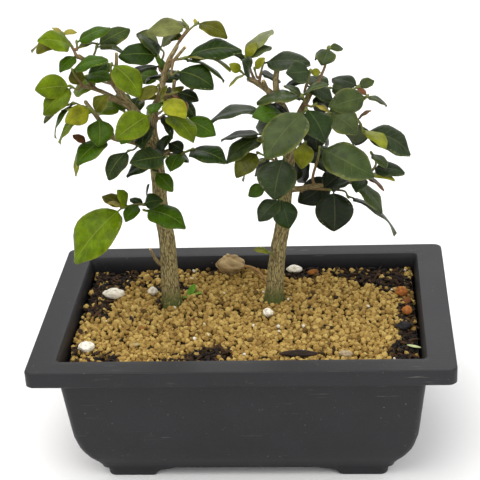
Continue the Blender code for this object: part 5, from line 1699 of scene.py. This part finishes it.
@dataclass
class Studio:
    """Pale floor, even bright surroundings, soft lights and the camera."""

    eye: tuple[float, float, float] = (0.055, -0.645, 0.426)
    yaw: float = 5.0
    pitch: float = 26.05
    roll: float = -3.1
    lens: float = 108.3
    sky: float = 0.86

    def camera(self) -> None:
        """Places the camera by its yaw, downward pitch and roll."""
        yaw, pitch, roll = (math.radians(angle) for angle in (self.yaw, self.pitch, self.roll))
        ahead = np.array((-math.sin(yaw) * math.cos(pitch), math.cos(yaw) * math.cos(pitch),
                          -math.sin(pitch)))
        right = np.array((math.cos(yaw), math.sin(yaw), 0.0))
        up = np.cross(right, ahead)
        across = math.cos(roll) * right + math.sin(roll) * up
        upward = math.cos(roll) * up - math.sin(roll) * right
        matrix = np.eye(4)
        matrix[:3] = np.column_stack([across, upward, -ahead, self.eye])
        data = bpy.data.cameras.new("camera")
        data.lens = self.lens
        data.clip_start = 0.01
        camera = bpy.data.objects.new("camera", data)
        camera.matrix_world = matrix.T.tolist()
        bpy.context.collection.objects.link(camera)
        bpy.context.scene.camera = camera

    def floor(self) -> None:
        """A wide flat floor under the pot."""
        mesh = bpy.data.meshes.new("floor")
        mesh.from_pydata([(-6, -6, 0), (6, -6, 0), (6, 6, 0), (-6, 6, 0)], [], [(0, 1, 2, 3)])
        mesh.materials.append(PaleFloor().make())
        floor = bpy.data.objects.new("floor", mesh)
        bpy.context.collection.objects.link(floor)

    def light(self, name: str, place: Sequence[float], aim: Sequence[float], size: float,
              power: float, color: Color = (1.0, 1.0, 1.0)) -> None:
        """A square soft light at a place, turned to an aim."""
        data = bpy.data.lights.new(name, "AREA")
        data.size = size
        data.energy = power
        data.color = color
        lamp = bpy.data.objects.new(name, data)
        back = unit(np.array(place, float) - np.array(aim, float))
        right = unit(np.cross((0.0, 0.0, 1.0), back))
        matrix = np.eye(4)
        matrix[:3, 0], matrix[:3, 1], matrix[:3, 2] = right, np.cross(back, right), back
        matrix[:3, 3] = place
        lamp.matrix_world = matrix.T.tolist()
        bpy.context.collection.objects.link(lamp)

    def build(self) -> None:
        """Makes the camera, floor, surroundings and lights."""
        self.camera()
        self.floor()
        world = bpy.data.worlds.new("surroundings")
        world.use_nodes = True
        world.node_tree.nodes["Background"].inputs["Color"].default_value = (1.0, 1.0, 1.0, 1.0)
        world.node_tree.nodes["Background"].inputs["Strength"].default_value = self.sky
        bpy.context.scene.world = world
        bpy.context.scene.view_settings.view_transform = "Standard"
        target = (0.0, 0.0, 0.1)
        self.light("key", (-0.35, -0.35, 1.3), target, 1.3, 13.0, (1.0, 0.98, 0.95))
        self.light("fill", (0.9, -0.8, 0.7), target, 0.9, 4.5)
        self.light("back", (0.1, 1.1, 0.9), target, 0.9, 3.0)


STONES = (("tan_rock", StoneKind.ROCK), ("orange_pebble_back", StoneKind.ORANGE),
          ("orange_pebble_front", StoneKind.ORANGE), ("dark_stone", StoneKind.DARK),
          ("pale_stone", StoneKind.PALE), ("bark_strip", StoneKind.STRIP),
          ("perlite_left", StoneKind.PERLITE), ("perlite_front", StoneKind.PERLITE),
          ("perlite_trunk", StoneKind.PERLITE), ("perlite_back", StoneKind.PERLITE),
          ("perlite_middle", StoneKind.PERLITE))


def build_soil(clay: bpy.types.Material) -> None:
    """Makes the soil, the crumbs strewn on it and the stones that lie there."""
    stone = Granule("stone_skin", 0.8, 0.25).make()
    make_piece("soil_bed", SoilBed().surface(), clay, ["soil"])
    scatter = Scatter()
    for number, layer in enumerate(scatter.granules()):
        make_piece(f"granules_{number}", layer, clay, ["soil"], None)
    make_piece("mulch", scatter.mulch(), stone, ["soil"], None)
    make_piece("flecks", scatter.flecks(), stone, ["soil"], None)
    for number, (node, kind) in enumerate(STONES):
        lump = Stone(node, kind, 60 + 3 * number)
        make_piece(f"{node}_lump", lump.surface(), stone, [node], 60.0)


def build_litter(clay: bpy.types.Material) -> None:
    """Makes the arching root and the small bits."""
    litter = Litter()
    make_piece("arching_root", litter.root(), clay)
    for name, surface in litter.bits().items():
        make_piece(name, surface, clay, ["soil"])


def build_trees(bark: bpy.types.Material, twig_skin: bpy.types.Material) -> None:
    """Makes both trees, each with its own leaf finish."""
    skins = (LeafSkin("left_leaf_skin", display(150, 164, 70), display(150, 138, 52),
                      display(120, 130, 84)),
             LeafSkin("right_leaf_skin", display(112, 122, 72), display(140, 136, 70),
                      display(104, 114, 84), gloss=0.34, sheen=0.17))
    ground = Ground()
    for side, limbs, foot, seed, skin in zip(("left", "right"), (LEFT_WOOD, RIGHT_WOOD),
                                             ground.feet, (7, 19), skins):
        wood = Wood(side, np.array((*foot, ground.level)), limbs, seed)
        wood.build(bark)
        leaf_skin = skin.make()
        for number, (name, twigs) in enumerate(SPRAYS.items()):
            if name.startswith(side):
                Spray(name, twigs, wood, 100 + number).build(twig_skin, leaf_skin)


def main() -> None:
    """Builds the studio, the pot, the soil and both trees."""
    Studio().build()
    Pot().build(PotPlastic().make())
    clay = Granule("clay_crumb").make()
    build_soil(clay)
    bark = Bark().make()
    twig_skin = TwigSkin().make()
    build_litter(clay)
    build_trees(bark, twig_skin)


if __name__ == "__main__":
    logging.basicConfig(level=logging.INFO, format="%(name)s: %(message)s")
    main()
